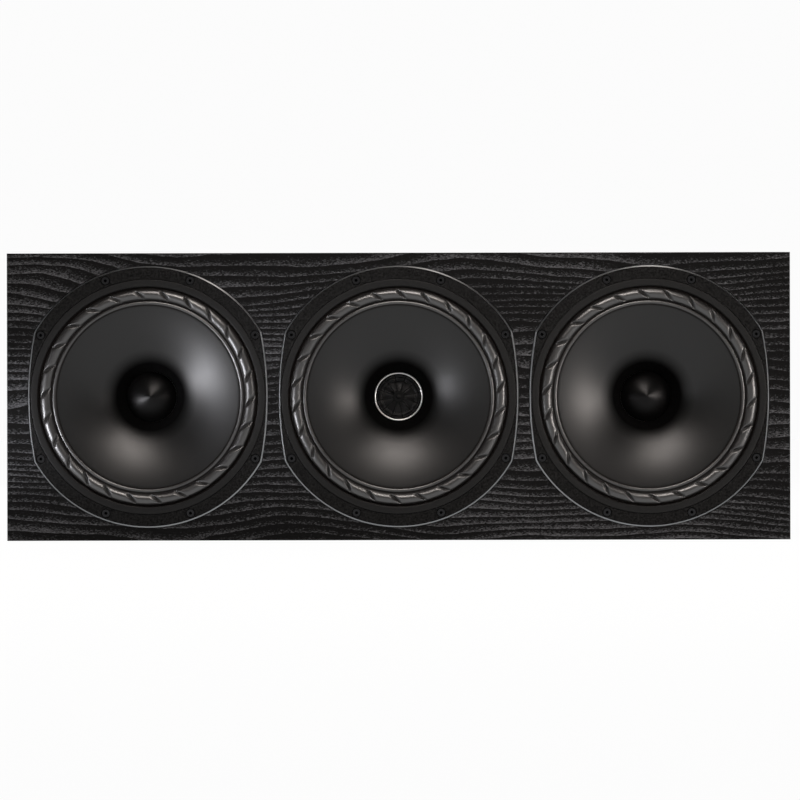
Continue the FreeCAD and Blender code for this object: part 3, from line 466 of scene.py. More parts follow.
def black_ash():
    """Open pored ash veneer, stained black under satin lacquer.

    Grey pores lie in growth rings that drift along a face.
    """
    finish, tree, shader, place = new_finish("Black Ash Veneer")
    # Rings lie above each other on upright faces, and behind each other on the top and the bottom.
    level = add(tree, "Mapping", {"Vector": place, "Rotation": (math.pi / 2, 0, 0)})["Vector"]
    facing = component(tree, add(tree, "TexCoord", {})["Normal"], "Z")
    upright = calculate(tree, "COMPARE", facing, 0.0, DIAGONAL)
    along = add(tree, "Mix", {0: upright, 4: level, 5: place}, data_type="VECTOR")[1]
    # Growth rings sway slowly along the board, so that their lines rise, fall and draw apart.
    sway = strands(tree, along, SWAY_RUN, roughness=0.4)
    ripple = strands(tree, along, RIPPLE_RUN)
    swayed = calculate(tree, "MULTIPLY_ADD", sway, RING_SWAY, component(tree, along, "Z"))
    height = calculate(tree, "MULTIPLY_ADD", ripple, RING_RIPPLE, swayed)
    # A ring is thick with pores at its lower edge and thins out upwards.
    ring = calculate(tree, "WRAP", height, RING_PITCH, 0.0)
    thinning = remap(tree, ring, 0.14, -0.2, high=RING_PITCH)
    patch = strands(tree, along, PATCH_RUN, detail=1.0)
    patchy = remap(tree, patch, -0.08, 0.06, *NOISE_SPAN)
    # Pores are 0.2 mm wide; they are drawn about 1 mm wide so that they show at this distance.
    pore = strands(tree, along, PORE_RUN, roughness=0.6, distortion=0.6)
    crowd = calculate(tree, "ADD", thinning, patchy)
    crowded = calculate(tree, "ADD", pore, crowd)
    grain = remap(tree, crowded, 0.0, 1.0, low=0.5, high=0.92)
    tone = two_tone(tree, grain, colours().veneer_dark, colours().veneer_light)
    gloss = remap(tree, grain, 0.5, 0.72)
    relief = bumps(tree, grain, 0.35, 0.12, invert=True)
    feed(tree, shader, {"Base Color": tone, "Roughness": gloss, "Normal": relief,
                        "Specular IOR Level": DULL_LEVEL})
    return finish


def powder_coat():
    """Black textured powder coat on a die casting, its outer chamfer cut bright after coating."""
    finish, tree, shader, place = new_finish("Textured Powder Coat")
    # The grit is 0.4 mm; it is drawn 1.7 mm wide so that it shows at this distance.
    grit = clouds(tree, place, 1.7, detail=3.0, roughness=0.65)
    speck = remap(tree, grit, 0.1, 3.0, low=0.35, high=0.7)
    coat = scaled(tree, colours().casting, speck)
    lean = component(tree, add(tree, "NewGeometry", {})["Normal"], "Y")
    cut = calculate(tree, "COMPARE", lean, -DIAGONAL, CUT_BAND)
    tone = two_tone(tree, cut, coat, colours().edge)
    gloss = remap(tree, cut, 0.52, 0.34)
    relief = bumps(tree, grit, 0.5, 0.12)
    feed(tree, shader, {"Base Color": tone, "Metallic": cut, "Roughness": gloss, "Normal": relief,
                        "Specular IOR Level": DULL_LEVEL})
    return finish


def satin(name, shade, grain, gloss, level, paints_shade=False):
    """Coated or moulded skin: even in colour, with a faint mottle that breaks up its soft sheen.

    Where it is asked for, the sheen follows the mesh's own share of it, and throats and creases lose it
    as painted shade.
    """
    finish, tree, shader, place = new_finish(name)
    mottle = clouds(tree, place, grain, detail=4.0, roughness=0.6)
    tone = scaled(tree, shade, remap(tree, mottle, 0.82, 1.18, *NOISE_SPAN))
    sheen = remap(tree, mottle, gloss - 0.02, gloss + 0.02, *NOISE_SPAN)
    relief = bumps(tree, mottle, 0.12, 0.03)
    # Painted shade: the specular level is cut by the mesh's share of sheen.
    if paints_shade:
        share = add(tree, "Attribute", {}, attribute_name=SHADED_SHEEN)["Fac"]
        level = calculate(tree, "MULTIPLY", share, level)
    feed(tree, shader, {"Base Color": tone, "Roughness": sheen, "Normal": relief,
                        "Specular IOR Level": level})
    return finish


def metal(name, shade, grain, gloss):
    """Turned, plated or polished metal: bright, with fine tool marks that spread its highlights."""
    finish, tree, shader, place = new_finish(name)
    marks = clouds(tree, place, grain, detail=3.0)
    tone = scaled(tree, shade, remap(tree, marks, 0.9, 1.05, *NOISE_SPAN))
    spread = remap(tree, marks, gloss - 0.04, gloss + 0.06, *NOISE_SPAN)
    feed(tree, shader, {"Base Color": tone, "Roughness": spread, "Metallic": 1.0})
    return finish


def oxide_with_shaded_sockets(shade, floor):
    """Black oxide steel: dull grey heads, with painted shade that turns the sockets black below their
    floor.
    """
    finish, tree, shader, place = new_finish("Black Oxide Steel With Shaded Sockets")
    wear = clouds(tree, place, 0.6, detail=3.0)
    depth = component(tree, place, "Y")
    unshaded = remap(tree, depth, 0.0, 1.0, low=floor + SOCKET_SHADE_FADE, high=floor)
    # Random wear, times the painted shade of the sockets.
    share = calculate(tree, "MULTIPLY", wear, unshaded)
    tone = scaled(tree, shade, remap(tree, share, 0.04, 1.0, high=0.5))
    gloss = remap(tree, wear, 0.28, 0.42)
    feed(tree, shader, {"Base Color": tone, "Roughness": gloss, "Metallic": 1.0})
    return finish


def mottled(name, dark, light, grain, gloss, lift):
    """Rough or fibrous stock, such as fibreboard, ferrite and felt: two tones in a coarse grain."""
    finish, tree, shader, place = new_finish(name)
    lumps = clouds(tree, place, grain, detail=5.0, roughness=0.7)
    share = remap(tree, lumps, 0.0, 1.0, low=0.35, high=0.65)
    tone = two_tone(tree, share, linear(dark), linear(light))
    relief = bumps(tree, lumps, 0.5, lift)
    feed(tree, shader, {"Base Color": tone, "Roughness": gloss, "Normal": relief})
    return finish


def wound(name, shade, pitch, gloss, front=AHEAD):
    """Enamelled wire laid turn beside turn, painted lighter on the ridges and darker between turns as
    painted shade, and a black former ahead of their front.
    """
    finish, tree, shader, place = new_finish(name)
    # The wire is 0.3 mm; its turns are drawn at the pitch given so that they show.
    turns = bands(tree, place, pitch, 0.4, "DIAGONAL")
    # Painted shade: each turn is lighter on its ridge and darker where it meets the next.
    turn_shade = remap(tree, turns, 0.55, 1.0)
    wire = calculate(tree, "GREATER_THAN", component(tree, place, "Y"), front)
    tone = scaled(tree, linear(shade), calculate(tree, "MULTIPLY", turn_shade, wire))
    relief = bumps(tree, turns, 0.6, 0.1)
    feed(tree, shader, {"Base Color": tone, "Roughness": gloss, "Normal": relief, "Metallic": 1.0})
    return finish


def woven(name, dark, light, thread):
    """Resin dipped or coated cloth: crossing threads with a dull sheen."""
    finish, tree, shader, place = new_finish(name)
    warp = bands(tree, place, thread, 0.3, "X")
    weft = bands(tree, place, thread, 0.3, "Z")
    cross = calculate(tree, "MAXIMUM", warp, weft)
    tone = two_tone(tree, cross, linear(dark), linear(light))
    relief = bumps(tree, cross, 0.6, 0.15)
    feed(tree, shader, {"Base Color": tone, "Roughness": 0.75, "Normal": relief})
    return finish


# Pieces


def slab(bm, low, high):
    """Box between two corners."""
    spread = Matrix.Diagonal((*(high - low), 1))
    place = Matrix.Translation((low + high) / 2) @ spread
    return bmesh.ops.create_cube(bm, size=1, matrix=place)["verts"]


def outside_edges(bm):
    """Edges that lie on two of the cabinet's outer faces at once."""
    low = Vector((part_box("bottom_panel")[0].x, FRONT, 0))
    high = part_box("top_panel")[1]
    chosen = []
    for edge in bm.edges:
        spot = (edge.verts[0].co + edge.verts[1].co) / 2
        gaps = [min(abs(spot[way] - low[way]), abs(spot[way] - high[way])) for way in range(3)]
        if sum(gap < JOIN for gap in gaps) == 2:
            chosen.append(edge)
    return chosen


class SPEAKER_OT_cabinet(bpy.types.Operator):
    """Build the veneered panels and finish the baffle, the rear panel and the dividers"""
    bl_idname = "speaker.cabinet"
    bl_label = "Cabinet"

    def execute(self, context):
        veneer = black_ash()
        for node in ("top_panel", "bottom_panel", "left_panel", "right_panel"):
            bm = bmesh.new()
            slab(bm, *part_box(node))
            soften(bm, outside_edges(bm), sizes().edge_round)
            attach(make_piece(node + "_veneered", bm, veneer, "black_ash", node), "cabinet")
        dress(veneer, "front_baffle", "rear_panel")
        board = mottled("Fibreboard", "#8a6a48", "#a98962", grain=1.5, gloss=0.85, lift=0.1)
        dress(board, "left_divider", "right_divider")
        return {"FINISHED"}


class SPEAKER_OT_frames(bpy.types.Operator):
    """Finish the cast frames and their screws"""
    bl_idname = "speaker.frames"
    bl_label = "Frames"

    def execute(self, context):
        dress(powder_coat(), *each("frame"))
        # Depth below which painted shade blackens the screws' sockets.
        floor = depths("driver_screws")[0] + FRONT + SOCKET_LIP
        dress(oxide_with_shaded_sockets(linear("#343435"), floor), "driver_screws")
        dress(metal("Black Zinc Steel", linear("#3a3a3b"), grain=0.6, gloss=0.34), "plate_screws")
        for node in ("driver_screws", "plate_screws"):
            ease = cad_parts[node].modifiers.new("Eased Edges", "BEVEL")
            ease.width = sizes().screw_ease
            ease.segments = EASE_SEGMENTS
            ease.angle_limit = CREASE
        return {"FINISHED"}


class SPEAKER_OT_trim_rings(bpy.types.Operator):
    """Turn the trim rings that cover the surrounds' outer edges"""
    bl_idname = "speaker.trim_rings"
    bl_label = "Trim Rings"

    def execute(self, context):
        finish = satin("Moulded Trim Rubber", colours().trim, grain=2.0, gloss=0.45, level=0.14)
        bevel, corner = sizes().trim_bevel, sizes().trim_round
        for side in SIDES:
            node = f"{side}_trim_ring"
            front, back = depths(node)
            outer = radius(node)
            inner = outer - TRIM_WIDTH
            profile = [(inner, back), (inner, front + bevel)]
            face = (inner + bevel, front)
            profile += arc(profile[-1], face, bevel * BEVEL_BOW, ARC_STEPS["bevel"], LEFT)
            profile.append((outer - corner, front))
            profile += arc(profile[-1], (outer, front + corner), corner, ARC_STEPS["corner"], LEFT)
            profile.append((outer, back))
            turned_piece(node + "_turned", profile, node, TURN_STEPS["trim"], finish, "trim_rubber",
                         "cabinet")
        return {"FINISHED"}


def surround_profile(size, outer, front, seat):
    """Section of the surround: lip with its bead, half roll, cleft, landing and the hollow behind."""
    wall = size.surround_wall
    roll = size.roll_width / 2
    landing = seat - wall
    centre = size.rim_radius + LIP_WIDTH + roll
    foot = math.sqrt(roll ** 2 - wall ** 2)
    hollow = roll - wall
    bead = size.rim_radius + LIP_WIDTH / 2
    half = size.bead_radius
    soft = wall / 3
    points = [(size.rim_radius, seat), (size.rim_radius, landing + soft)]
    points += arc(points[-1], (size.rim_radius + soft, landing), soft, ARC_STEPS["round"], LEFT)
    points.append((bead - half, landing))
    points += arc(points[-1], (bead + half, landing), half * BEAD_BOW, ARC_STEPS["bead"], LEFT)
    points.append((centre - foot, landing))
    points += arc(points[-1], (centre, front), roll, ARC_STEPS["roll"], LEFT)
    points += arc(points[-1], (centre + foot, landing), roll, ARC_STEPS["roll"], LEFT)
    edge = outer - TRIM_WIDTH
    points += [((centre + foot + edge) / 2, seat - wall / 6), (edge, landing)]
    points += [(outer, landing), (outer, seat), (centre + hollow, seat)]
    points += arc(points[-1], (centre, seat - hollow), hollow, ARC_STEPS["hollow"], RIGHT)
    points += arc(points[-1], (centre - hollow, seat), hollow, ARC_STEPS["hollow"], RIGHT)
    return points


def pleat(bm, size, centre, seat):
    """Shear the roll's columns along the slant, crowd them at the pleats and press those in."""
    roll = size.roll_width / 2
    crest = size.rim_radius + LIP_WIDTH + roll
    behind = seat - roll + size.pleat_depth + size.pleat_reach
    share = math.tau / size.pleat_count
    lean, rise = math.sin(size.pleat_slant), math.cos(size.pleat_slant)
    for vertex in bm.verts:
        spot = vertex.co - centre
        out = math.hypot(spot.x, spot.z)
        inward = min(max(crest - out, -roll), roll)
        column = math.atan2(spot.x, spot.z) / share
        number = round(column)
        aside = column - number
        near = share * aside * (CROWDING + (1 - CROWDING) * (2 * aside) ** 2)
        near += inward * math.tan(size.pleat_slant) / crest
        vertex.co.x = centre.x + out * math.sin(number * share + near)
        vertex.co.z = centre.z + out * math.cos(number * share + near)
        if abs(out - crest) >= roll:
            continue
        beside, above = out * math.sin(near), out * math.cos(near) - crest
        across = math.hypot(above * lean + beside * rise, size.valley_soft)
        along = beside * lean - above * rise
        is_hollow = math.hypot(out - crest, spot.y - seat) < roll - size.surround_wall / 2
        sink = size.surround_wall / math.cos(size.pleat_flank) if is_hollow else 0
        reach = size.pleat_reach - sink + across * math.tan(size.pleat_flank)
        gap = spot.y - behind + math.sqrt(max(reach ** 2 - along ** 2, 0))
        vertex.co.y += (math.hypot(gap, size.pleat_soft) - gap) / 2


class SPEAKER_OT_surrounds(bpy.types.Operator):
    """Turn the rubber surrounds and press their slanted pleats"""
    bl_idname = "speaker.surrounds"
    bl_label = "Surrounds"

    def execute(self, context):
        finish = satin("Moulded Butyl Rubber", colours().rubber, grain=1.6, gloss=0.38, level=1.0,
                       paints_shade=True)
        size = sizes()
        columns = size.pleat_count * PLEAT_COLUMNS
        for side in SIDES:
            node = f"{side}_surround"
            front, back = depths(node)
            centre = on_axis(f"{side}_cone")
            bm = bmesh.new()
            lathe(bm, surround_profile(size, radius(node), front, back), centre, columns)
            close(bm)
            pleat(bm, size, centre, back)
            turn = Matrix.Rotation(math.radians(PLEAT_TURNS[side]), 3, AXIS)
            bmesh.ops.rotate(bm, verts=bm.verts, cent=centre, matrix=turn)
            piece = make_piece(node + "_moulded", bm, finish, "surround_rubber", node)
            # Painted shade: the surround's cleft and creases lose their sheen.
            paint_shade_in_sheen(piece, *CREASE_SHADE)
            stretch(piece)
        return {"FINISHED"}


def slopes(first, last, steps):
    """Even row of slopes with both ends."""
    return [first + (last - first) * step / steps for step in range(steps + 1)]


def cone_profile(size, seat, end, outer):
    """Section of the cone: flat lip, flare, throat, collar and the same wall behind."""
    rim, knee, neck = size.rim_angle, size.knee_angle, size.neck_angle
    flare = (size.rim_radius - size.knee_radius) / (math.sin(knee) - math.sin(rim))
    throat = (size.knee_radius - size.neck_radius) / (math.sin(neck) - math.sin(knee))
    knee_depth = seat + flare * (math.cos(rim) - math.cos(knee))
    face = []
    for slope in slopes(rim, knee, ARC_STEPS["flare"]):
        face.append((size.rim_radius - flare * (math.sin(slope) - math.sin(rim)),
                     seat + flare * (math.cos(rim) - math.cos(slope)), slope))
    for slope in slopes(knee, neck, ARC_STEPS["throat"])[1:]:
        face.append((size.knee_radius - throat * (math.sin(slope) - math.sin(knee)),
                     knee_depth + throat * (math.cos(knee) - math.cos(slope)), slope))
    wall = size.cone_wall
    points = [(outer, seat)] + [(out, depth) for out, depth, slope in face]
    points += [(size.neck_radius, end), (size.neck_radius + wall, end)]
    for out, depth, slope in reversed(face):
        points.append((out + wall * math.sin(slope), depth + wall * math.cos(slope)))
    points.append((outer, seat + wall))
    return points


class SPEAKER_OT_cones(bpy.types.Operator):
    """Turn the flared cones"""
    bl_idname = "speaker.cones"
    bl_label = "Cones"

    def execute(self, context):
        finish = satin("Coated Cone", colours().cone, grain=3.0, gloss=0.4, level=0.38, paints_shade=True)
        for side in SIDES:
            node = f"{side}_cone"
            profile = cone_profile(sizes(), *depths(node), radius(node))
            piece = turned_piece(node + "_turned", profile, node, TURN_STEPS["cone"], finish, "cone_skin",
                                 f"{side}_moving")
            # Painted shade: the cone's throat loses its sheen.
            paint_shade_in_sheen(piece, *THROAT_SHADE)
        return {"FINISHED"}


class SPEAKER_OT_dust_caps(bpy.types.Operator):
    """Turn the pointed dust caps"""
    bl_idname = "speaker.dust_caps"
    bl_label = "Dust Caps"

    def execute(self, context):
        finish = satin("Coated Dust Cap", colours().cone, grain=2.0, gloss=0.37, level=0.12, paints_shade=True)
        curve, wall = sizes().cap_curve, sizes().cap_wall
        for side in WOOFERS:
            node = f"{side}_dust_cap"
            front, back = depths(node)
            outer = radius(node)
            tip, inner = (0, front), (outer - wall, back)
            profile = [tip] + arc(tip, (outer, back), curve, ARC_STEPS["cap"], LEFT)
            profile += [inner] + arc(inner, (0, front + wall), curve, ARC_STEPS["cap"], RIGHT)
            piece = turned_piece(node + "_turned", profile, node, TURN_STEPS["cap"], finish, "cap_skin",
                                 f"{side}_moving")
            # Painted shade: the dust cap's sides lose their sheen towards its base.
            paint_shade_in_sheen(piece, *CAP_SHADE)
        return {"FINISHED"}


def plug_mesh(size, centre):
    """Phase plug: stepped rim, finned middle and a hub with its nub."""
    front, back = depths("tweeter_plug")
    rim_front = front + NUB_LEAD
    base = radius("tweeter_plug")
    inner = radius("tweeter_ring") - RING_WIDTH - size.plug_wall
    outer = inner + size.plug_wall - GLUE
    step = depths("tweeter_ring")[1]
    lip = size.plug_wall / 4
    bm = bmesh.new()
    rim = [(inner, rim_front + lip)]
    rim += arc(rim[-1], (inner + lip, rim_front), lip, ARC_STEPS["round"], LEFT)
    rim.append((outer - lip, rim_front))
    rim += arc(rim[-1], (outer, rim_front + lip), lip, ARC_STEPS["round"], LEFT)
    rim += [(outer, step), (base, step), (base, back), (inner, back)]
    lathe(bm, rim, centre, TURN_STEPS["rim"])
    fin_front = rim_front + FIN_SET
    fin_back = fin_front + size.fin_height
    nub = size.nub_radius
    hub = [(0, front)]
    hub += arc(hub[-1], (nub, front + nub / 2), nub * NUB_BOW, ARC_STEPS["nub"], LEFT)
    hub.append((nub, fin_front - FIN_SET / 2))
    hub += [(size.hub_radius - lip, fin_front), (size.hub_radius, fin_front + lip)]
    hub += [(size.hub_radius, fin_back), (0, fin_back)]
    lathe(bm, hub, centre, TURN_STEPS["hub"])
    half = size.fin_thickness / 2
    low = centre + Vector((-half, fin_front, size.hub_radius / 2))
    high = centre + Vector((half, fin_back, inner + size.plug_wall / 2))
    for number in range(size.fin_count):
        corners = slab(bm, low, high)
        edges = {edge for corner in corners for edge in corner.link_edges}
        blade = [edge for edge in edges if all(corner.co.y < low.y + JOIN for corner in edge.verts)]
        made = soften(bm, blade, half * FIN_ROUND)
        around = {corner for face in made["faces"] for corner in face.verts}
        around |= {corner for corner in corners if corner.is_valid}
        turn = Matrix.Rotation(size.fin_turn + math.tau * number / size.fin_count, 3, AXIS)
        bmesh.ops.rotate(bm, verts=list(around), cent=centre, matrix=turn)
    return bm


class SPEAKER_OT_tweeter(bpy.types.Operator):
    """Turn the tweeter's ring and film, mould its finned plug and finish its motor"""
    bl_idname = "speaker.tweeter"
    bl_label = "Tweeter"

    def execute(self, context):
        self.ring()
        matte = satin("Moulded Plug", colours().cone, grain=0.8, gloss=0.42, level=0.08)
        bm = plug_mesh(sizes(), on_axis("tweeter_plug"))
        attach(make_piece("tweeter_plug_moulded", bm, matte, "plug_plastic", "tweeter_plug"), "cabinet")
        self.film(sizes())
        dress(woven("Coated Silk", "#0c0c0c", "#1b1b1b", thread=0.5), "tweeter_dome")
        dress(wound("Tweeter Winding", "#b5693a", pitch=0.5, gloss=0.35), "tweeter_coil")
        steel = metal("Zinc Plated Steel", linear("#a9a9a6"), grain=1.2, gloss=0.38)
        dress(steel, "tweeter_plate", "tweeter_cup")
        nickel = metal("Nickel Plated Magnet", linear("#b3b1ab"), grain=1.2, gloss=0.3)
        dress(nickel, "tweeter_magnet")
        return {"FINISHED"}

    def ring(self):
        """Bright ring with a round front."""
        bright = metal("Bright Turned Aluminium", colours().ring, grain=0.8, gloss=0.38)
        front, back = depths("tweeter_ring")
        outer = radius("tweeter_ring")
        inner = outer - RING_WIDTH
        half = RING_WIDTH / 2
        profile = [(inner, back), (inner, front + half)]
        profile += arc(profile[-1], (outer - half, front), half, ARC_STEPS["ring"], LEFT)
        profile += arc(profile[-1], (outer, front + half), half, ARC_STEPS["ring"], LEFT)
        profile.append((outer, back))
        turned_piece("tweeter_ring_turned", profile, "tweeter_ring", TURN_STEPS["ring"], bright,
                     "ring_metal", "cabinet")

    def film(self, size):
        """Thin rolled film between the plug and the dome."""
        front, back = depths("tweeter_surround")
        outer = radius("tweeter_surround")
        inner = radius("tweeter_dome") + GLUE
        roll, wall = size.dome_roll, size.dome_film
        crest = inner + wall + roll
        landing = back - wall
        foot = math.sqrt(roll ** 2 - wall ** 2)
        hollow = roll - wall
        steps = ARC_STEPS["film"]
        profile = [(inner, back), (inner, landing), (crest - foot, landing)]
        profile += arc(profile[-1], (crest, front), roll, steps, LEFT)
        profile += arc(profile[-1], (crest + foot, landing), roll, steps, LEFT)
        profile += [(outer, landing), (outer, back), (crest + hollow, back)]
        profile += arc(profile[-1], (crest, back - hollow), hollow, steps, RIGHT)
        profile += arc(profile[-1], (crest - hollow, back), hollow, steps, RIGHT)
        bm = bmesh.new()
        centre = on_axis("tweeter_surround")
        lathe(bm, profile, centre, TURN_STEPS["film"])
        silk = woven("Coated Film", "#0d0d0d", "#181818", thread=0.5)
        piece = make_piece("tweeter_surround_film", bm, silk, "dome_silk", "tweeter_surround")
        stretch(piece)


class SPEAKER_OT_motors(bpy.types.Operator):
    """Fold the spiders and finish the voice coils and magnets"""
    bl_idname = "speaker.motors"
    bl_label = "Motors"

    def execute(self, context):
        cloth = woven("Resin Dipped Cloth", "#7a5a26", "#b58a45", thread=1.2)
        for side in SIDES:
            self.spider(side, sizes(), cloth)
        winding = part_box("mid_voice_coil")[1].y - WINDING_HEIGHT
        copper = wound("Copper Winding", "#b5693a", pitch=1.0, gloss=0.35, front=winding)
        dress(copper, *each("voice_coil"))
        steel = metal("Zinc Plated Motor Steel", linear("#a9a9a6"), grain=1.2, gloss=0.4)
        dress(steel, *each("top_plate", "yoke"))
        ferrite = mottled("Sintered Ferrite", "#232326", "#38383b", grain=0.8, gloss=0.6, lift=0.05)
        dress(ferrite, *each("magnet"))
        return {"FINISHED"}

    def spider(self, side, size, cloth):
        """Waved cloth between the frame and the coil's former."""
        node = f"{side}_spider"
        centre = on_axis(node)
        front, back = depths(node)
        outer = radius(node)
        ledge = outer - SPIDER_LAND
        level = (front + back - size.spider_wall) / 2
        span = ledge - size.neck_radius
        steps = ARC_STEPS["spider"]
        top = []
        for step in range(steps + 1):
            share = step / steps
            wave = -size.spider_wave * math.sin(math.tau * size.spider_folds * share)
            top.append((size.neck_radius + span * share, level + wave))
        top.append((outer, level))
        under = [(out, depth + size.spider_wall) for out, depth in reversed(top)]
        bm = bmesh.new()
        lathe(bm, top + under, centre, TURN_STEPS["spider"])
        piece = make_piece(node + "_folded", bm, cloth, "spider_cloth", node)
        stretch(piece)


class SPEAKER_OT_rear(bpy.types.Operator):
    """Finish the ports, the terminal plate and the binding posts"""
    bl_idname = "speaker.rear"
    bl_label = "Ports and Terminals"

    def execute(self, context):
        black = colours().plastic
        port = satin("Moulded Port", black, grain=0.7, gloss=0.5, level=0.5)
        dress(port, "left_port", "right_port")
        dress(satin("Moulded Plate", black, grain=0.9, gloss=0.55, level=0.5), "terminal_plate")
        brass = metal("Gold Plated Brass", colours().brass, grain=0.5, gloss=0.22)
        dress(brass, "red_post", "black_post")
        red = satin("Red Polycarbonate", colours().red, grain=1.5, gloss=0.25, level=0.5)
        dress(red, "red_cap")
        dress(satin("Black Polycarbonate", black, grain=1.5, gloss=0.25, level=0.5), "black_cap")
        return {"FINISHED"}


class SPEAKER_OT_crossover(bpy.types.Operator):
    """Finish the crossover and the leads inside the cabinet"""
    bl_idname = "speaker.crossover"
    bl_label = "Crossover"

    def execute(self, context):
        board = mottled("Fibreglass Board", "#1c5a33", "#25713f", grain=2.0, gloss=0.4, lift=0.02)
        dress(board, "crossover_board")
        dress(wound("Inductor Winding", "#b3622f", pitch=1.0, gloss=0.32), "inductors")
        film = mottled("Wrapped Film", "#a98f2c", "#bda33c", grain=3.0, gloss=0.3, lift=0.01)
        dress(film, "capacitors")
        cement = mottled("Cast Cement", "#cfccc2", "#e2dfd6", grain=1.2, gloss=0.85, lift=0.1)
        dress(cement, "resistors")
        jacket = mottled("Soft PVC Jacket", "#2a2a2a", "#343434", grain=2.5, gloss=0.45, lift=0.01)
        dress(jacket, "internal_leads")
        return {"FINISHED"}


class SPEAKER_OT_damping(bpy.types.Operator):
    """Fluff the felt pads on the panels"""
    bl_idname = "speaker.damping"
    bl_label = "Damping"

    def execute(self, context):
        low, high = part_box("damping_pads")
        thick = sizes().pad_thickness
        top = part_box("top_panel")[1].z - low.z
        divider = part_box("right_divider")[0].x
        side = low.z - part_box("bottom_panel")[1].z
        slabs = [
            (low, Vector((low.x + thick, high.y, top))),
            (Vector((high.x - thick, low.y, low.z)), Vector((high.x, high.y, top))),
            (Vector((side - divider, low.y, high.z - thick)), Vector((divider - side, high.y, high.z))),
        ]
        bm = bmesh.new()
        for near, far in slabs:
            slab(bm, near, far)
        soften(bm, bm.edges[:], thick / 4)
        bmesh.ops.subdivide_edges(bm, edges=bm.edges, cuts=PAD_CUTS, use_grid_fill=True)
        centre = (low + high) / 2
        for vertex in bm.verts:
            lump = noise.noise(vertex.co * per(LUMP_WIDTH)) - 1
            vertex.co += (centre - vertex.co).normalized() * -lump * FELT_LUMP
        felt = mottled("Felted Wadding", "#6f6f6d", "#a3a29f", grain=3.0, gloss=0.95, lift=0.8)
        piece = make_piece("damping_pads_felted", bm, felt, "felt", "damping_pads")
        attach(piece, "cabinet")
        return {"FINISHED"}


# Stage


def white_paper():
    """Matt paper that camera, mirror and glass rays see white, bar a share that keeps the shadow."""
    paper, tree, shader, place = new_finish("White Seamless Paper")
    tone = remap(tree, clouds(tree, place, 900), 0.84, 0.88)
    feed(tree, shader, {"Base Color": tone, "Roughness": 0.9})
    path = add(tree, "LightPath", {})
    eye = calculate(tree, "MAXIMUM", path["Is Camera Ray"], path["Is Glossy Ray"])
    seen = calculate(tree, "MAXIMUM", eye, path["Is Transmission Ray"])
    share = calculate(tree, "MULTIPLY", seen, PAPER_GLOW)
    white = add(tree, "Emission", {"Color": linear("#ffffff"), "Strength": 1.0})["Emission"]
    mixed = add(tree, "MixShader", {0: share, 1: shader.outputs["BSDF"], 2: white})["Shader"]
    feed(tree, tree.nodes["Material Output"], {"Surface": mixed})
    return paper


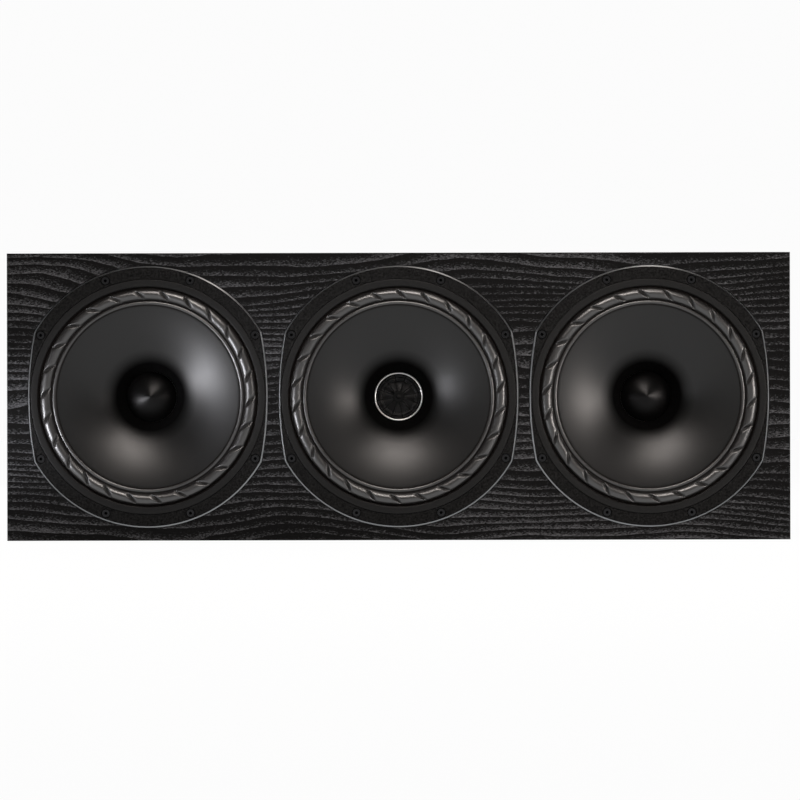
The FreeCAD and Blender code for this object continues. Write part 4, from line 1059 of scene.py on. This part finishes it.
class SPEAKER_OT_stage(bpy.types.Operator):
    """Set the floor, the backdrop, the studio lights and the camera"""
    bl_idname = "speaker.stage"
    bl_label = "Stage"

    def execute(self, context):
        paper = white_paper()
        self.sheet("floor", paper, Matrix.Translation((0, 0, -GLUE)))
        upright = Matrix.Translation((0, FLOOR_REACH / 2, 0)) @ Matrix.Rotation(math.pi / 2, 4, "X")
        self.sheet("backdrop", paper, upright)
        world = bpy.data.worlds.new("Studio")
        world.use_nodes = True
        feed(world.node_tree, world.node_tree.nodes["Background"],
             {"Color": linear("#ffffff"), "Strength": WORLD_LEVEL})
        bpy.context.scene.world = world
        self.lights()
        self.camera()
        bpy.context.scene.view_settings.view_transform = "Standard"
        return {"FINISHED"}

    def sheet(self, name, finish, place):
        """Large sheet of paper that belongs to the stage."""
        bm = bmesh.new()
        bmesh.ops.create_grid(bm, x_segments=2, y_segments=2, size=FLOOR_REACH, matrix=place)
        mesh = bpy.data.meshes.new(name)
        bm.to_mesh(mesh)
        bm.free()
        mesh.materials.append(finish)
        ground = bpy.data.objects.new(name, mesh)
        bpy.context.scene.collection.objects.link(ground)

    def lights(self):
        """Area lamps that the camera does not see."""
        for name, (spot, aim, width, height, power, spread, code) in LIGHTS.items():
            lamp = bpy.data.lights.new(name, "AREA")
            lamp.shape = "RECTANGLE"
            lamp.size, lamp.size_y = width, height
            lamp.energy = power
            lamp.spread = math.radians(spread)
            lamp.color = linear(code)[:3]
            stand = bpy.data.objects.new(name, lamp)
            stand.location = spot
            stand.rotation_euler = (Vector(aim) - Vector(spot)).to_track_quat("-Z", "Y").to_euler()
            stand.visible_camera = False
            bpy.context.scene.collection.objects.link(stand)

    def camera(self):
        """Camera straight ahead of the baffle."""
        lens = bpy.data.cameras.new("camera")
        lens.sensor_width = SENSOR_MM
        lens.lens = SENSOR_MM * CAMERA_DISTANCE / VIEW_WIDTH
        eye = bpy.data.objects.new("camera", lens)
        eye.location = (VIEW_CENTRE[0], FRONT - CAMERA_DISTANCE, VIEW_CENTRE[1])
        eye.rotation_euler = (math.pi / 2, math.radians(CAMERA_ROLL), 0)
        bpy.context.scene.collection.objects.link(eye)
        bpy.context.scene.camera = eye


STEPS = (
    SPEAKER_OT_cabinet,
    SPEAKER_OT_frames,
    SPEAKER_OT_trim_rings,
    SPEAKER_OT_surrounds,
    SPEAKER_OT_cones,
    SPEAKER_OT_dust_caps,
    SPEAKER_OT_tweeter,
    SPEAKER_OT_motors,
    SPEAKER_OT_rear,
    SPEAKER_OT_crossover,
    SPEAKER_OT_damping,
    SPEAKER_OT_stage,
)


class SPEAKER_PT_build(bpy.types.Panel):
    """Sizes, colours and steps of the speaker"""
    bl_idname = "SPEAKER_PT_build"
    bl_label = "LCR Speaker"
    bl_space_type = "VIEW_3D"
    bl_region_type = "UI"
    bl_category = "Speaker"

    def draw(self, context):
        for group in (context.scene.speaker_sizes, context.scene.speaker_colours):
            box = self.layout.box()
            for name in group.__annotations__:
                box.prop(group, name)
        for step in STEPS:
            self.layout.operator(step.bl_idname)


CLASSES = (SpeakerSizes, SpeakerColours, *STEPS, SPEAKER_PT_build)


def register():
    for kind in CLASSES:
        bpy.utils.register_class(kind)
    bpy.types.Scene.speaker_sizes = PointerProperty(type=SpeakerSizes)
    bpy.types.Scene.speaker_colours = PointerProperty(type=SpeakerColours)


def unregister():
    del bpy.types.Scene.speaker_colours
    del bpy.types.Scene.speaker_sizes
    for kind in reversed(CLASSES):
        bpy.utils.unregister_class(kind)


def main():
    register()
    for step in STEPS:
        group, name = step.bl_idname.split(".")
        getattr(getattr(bpy.ops, group), name)()


if __name__ == "__main__":
    main()
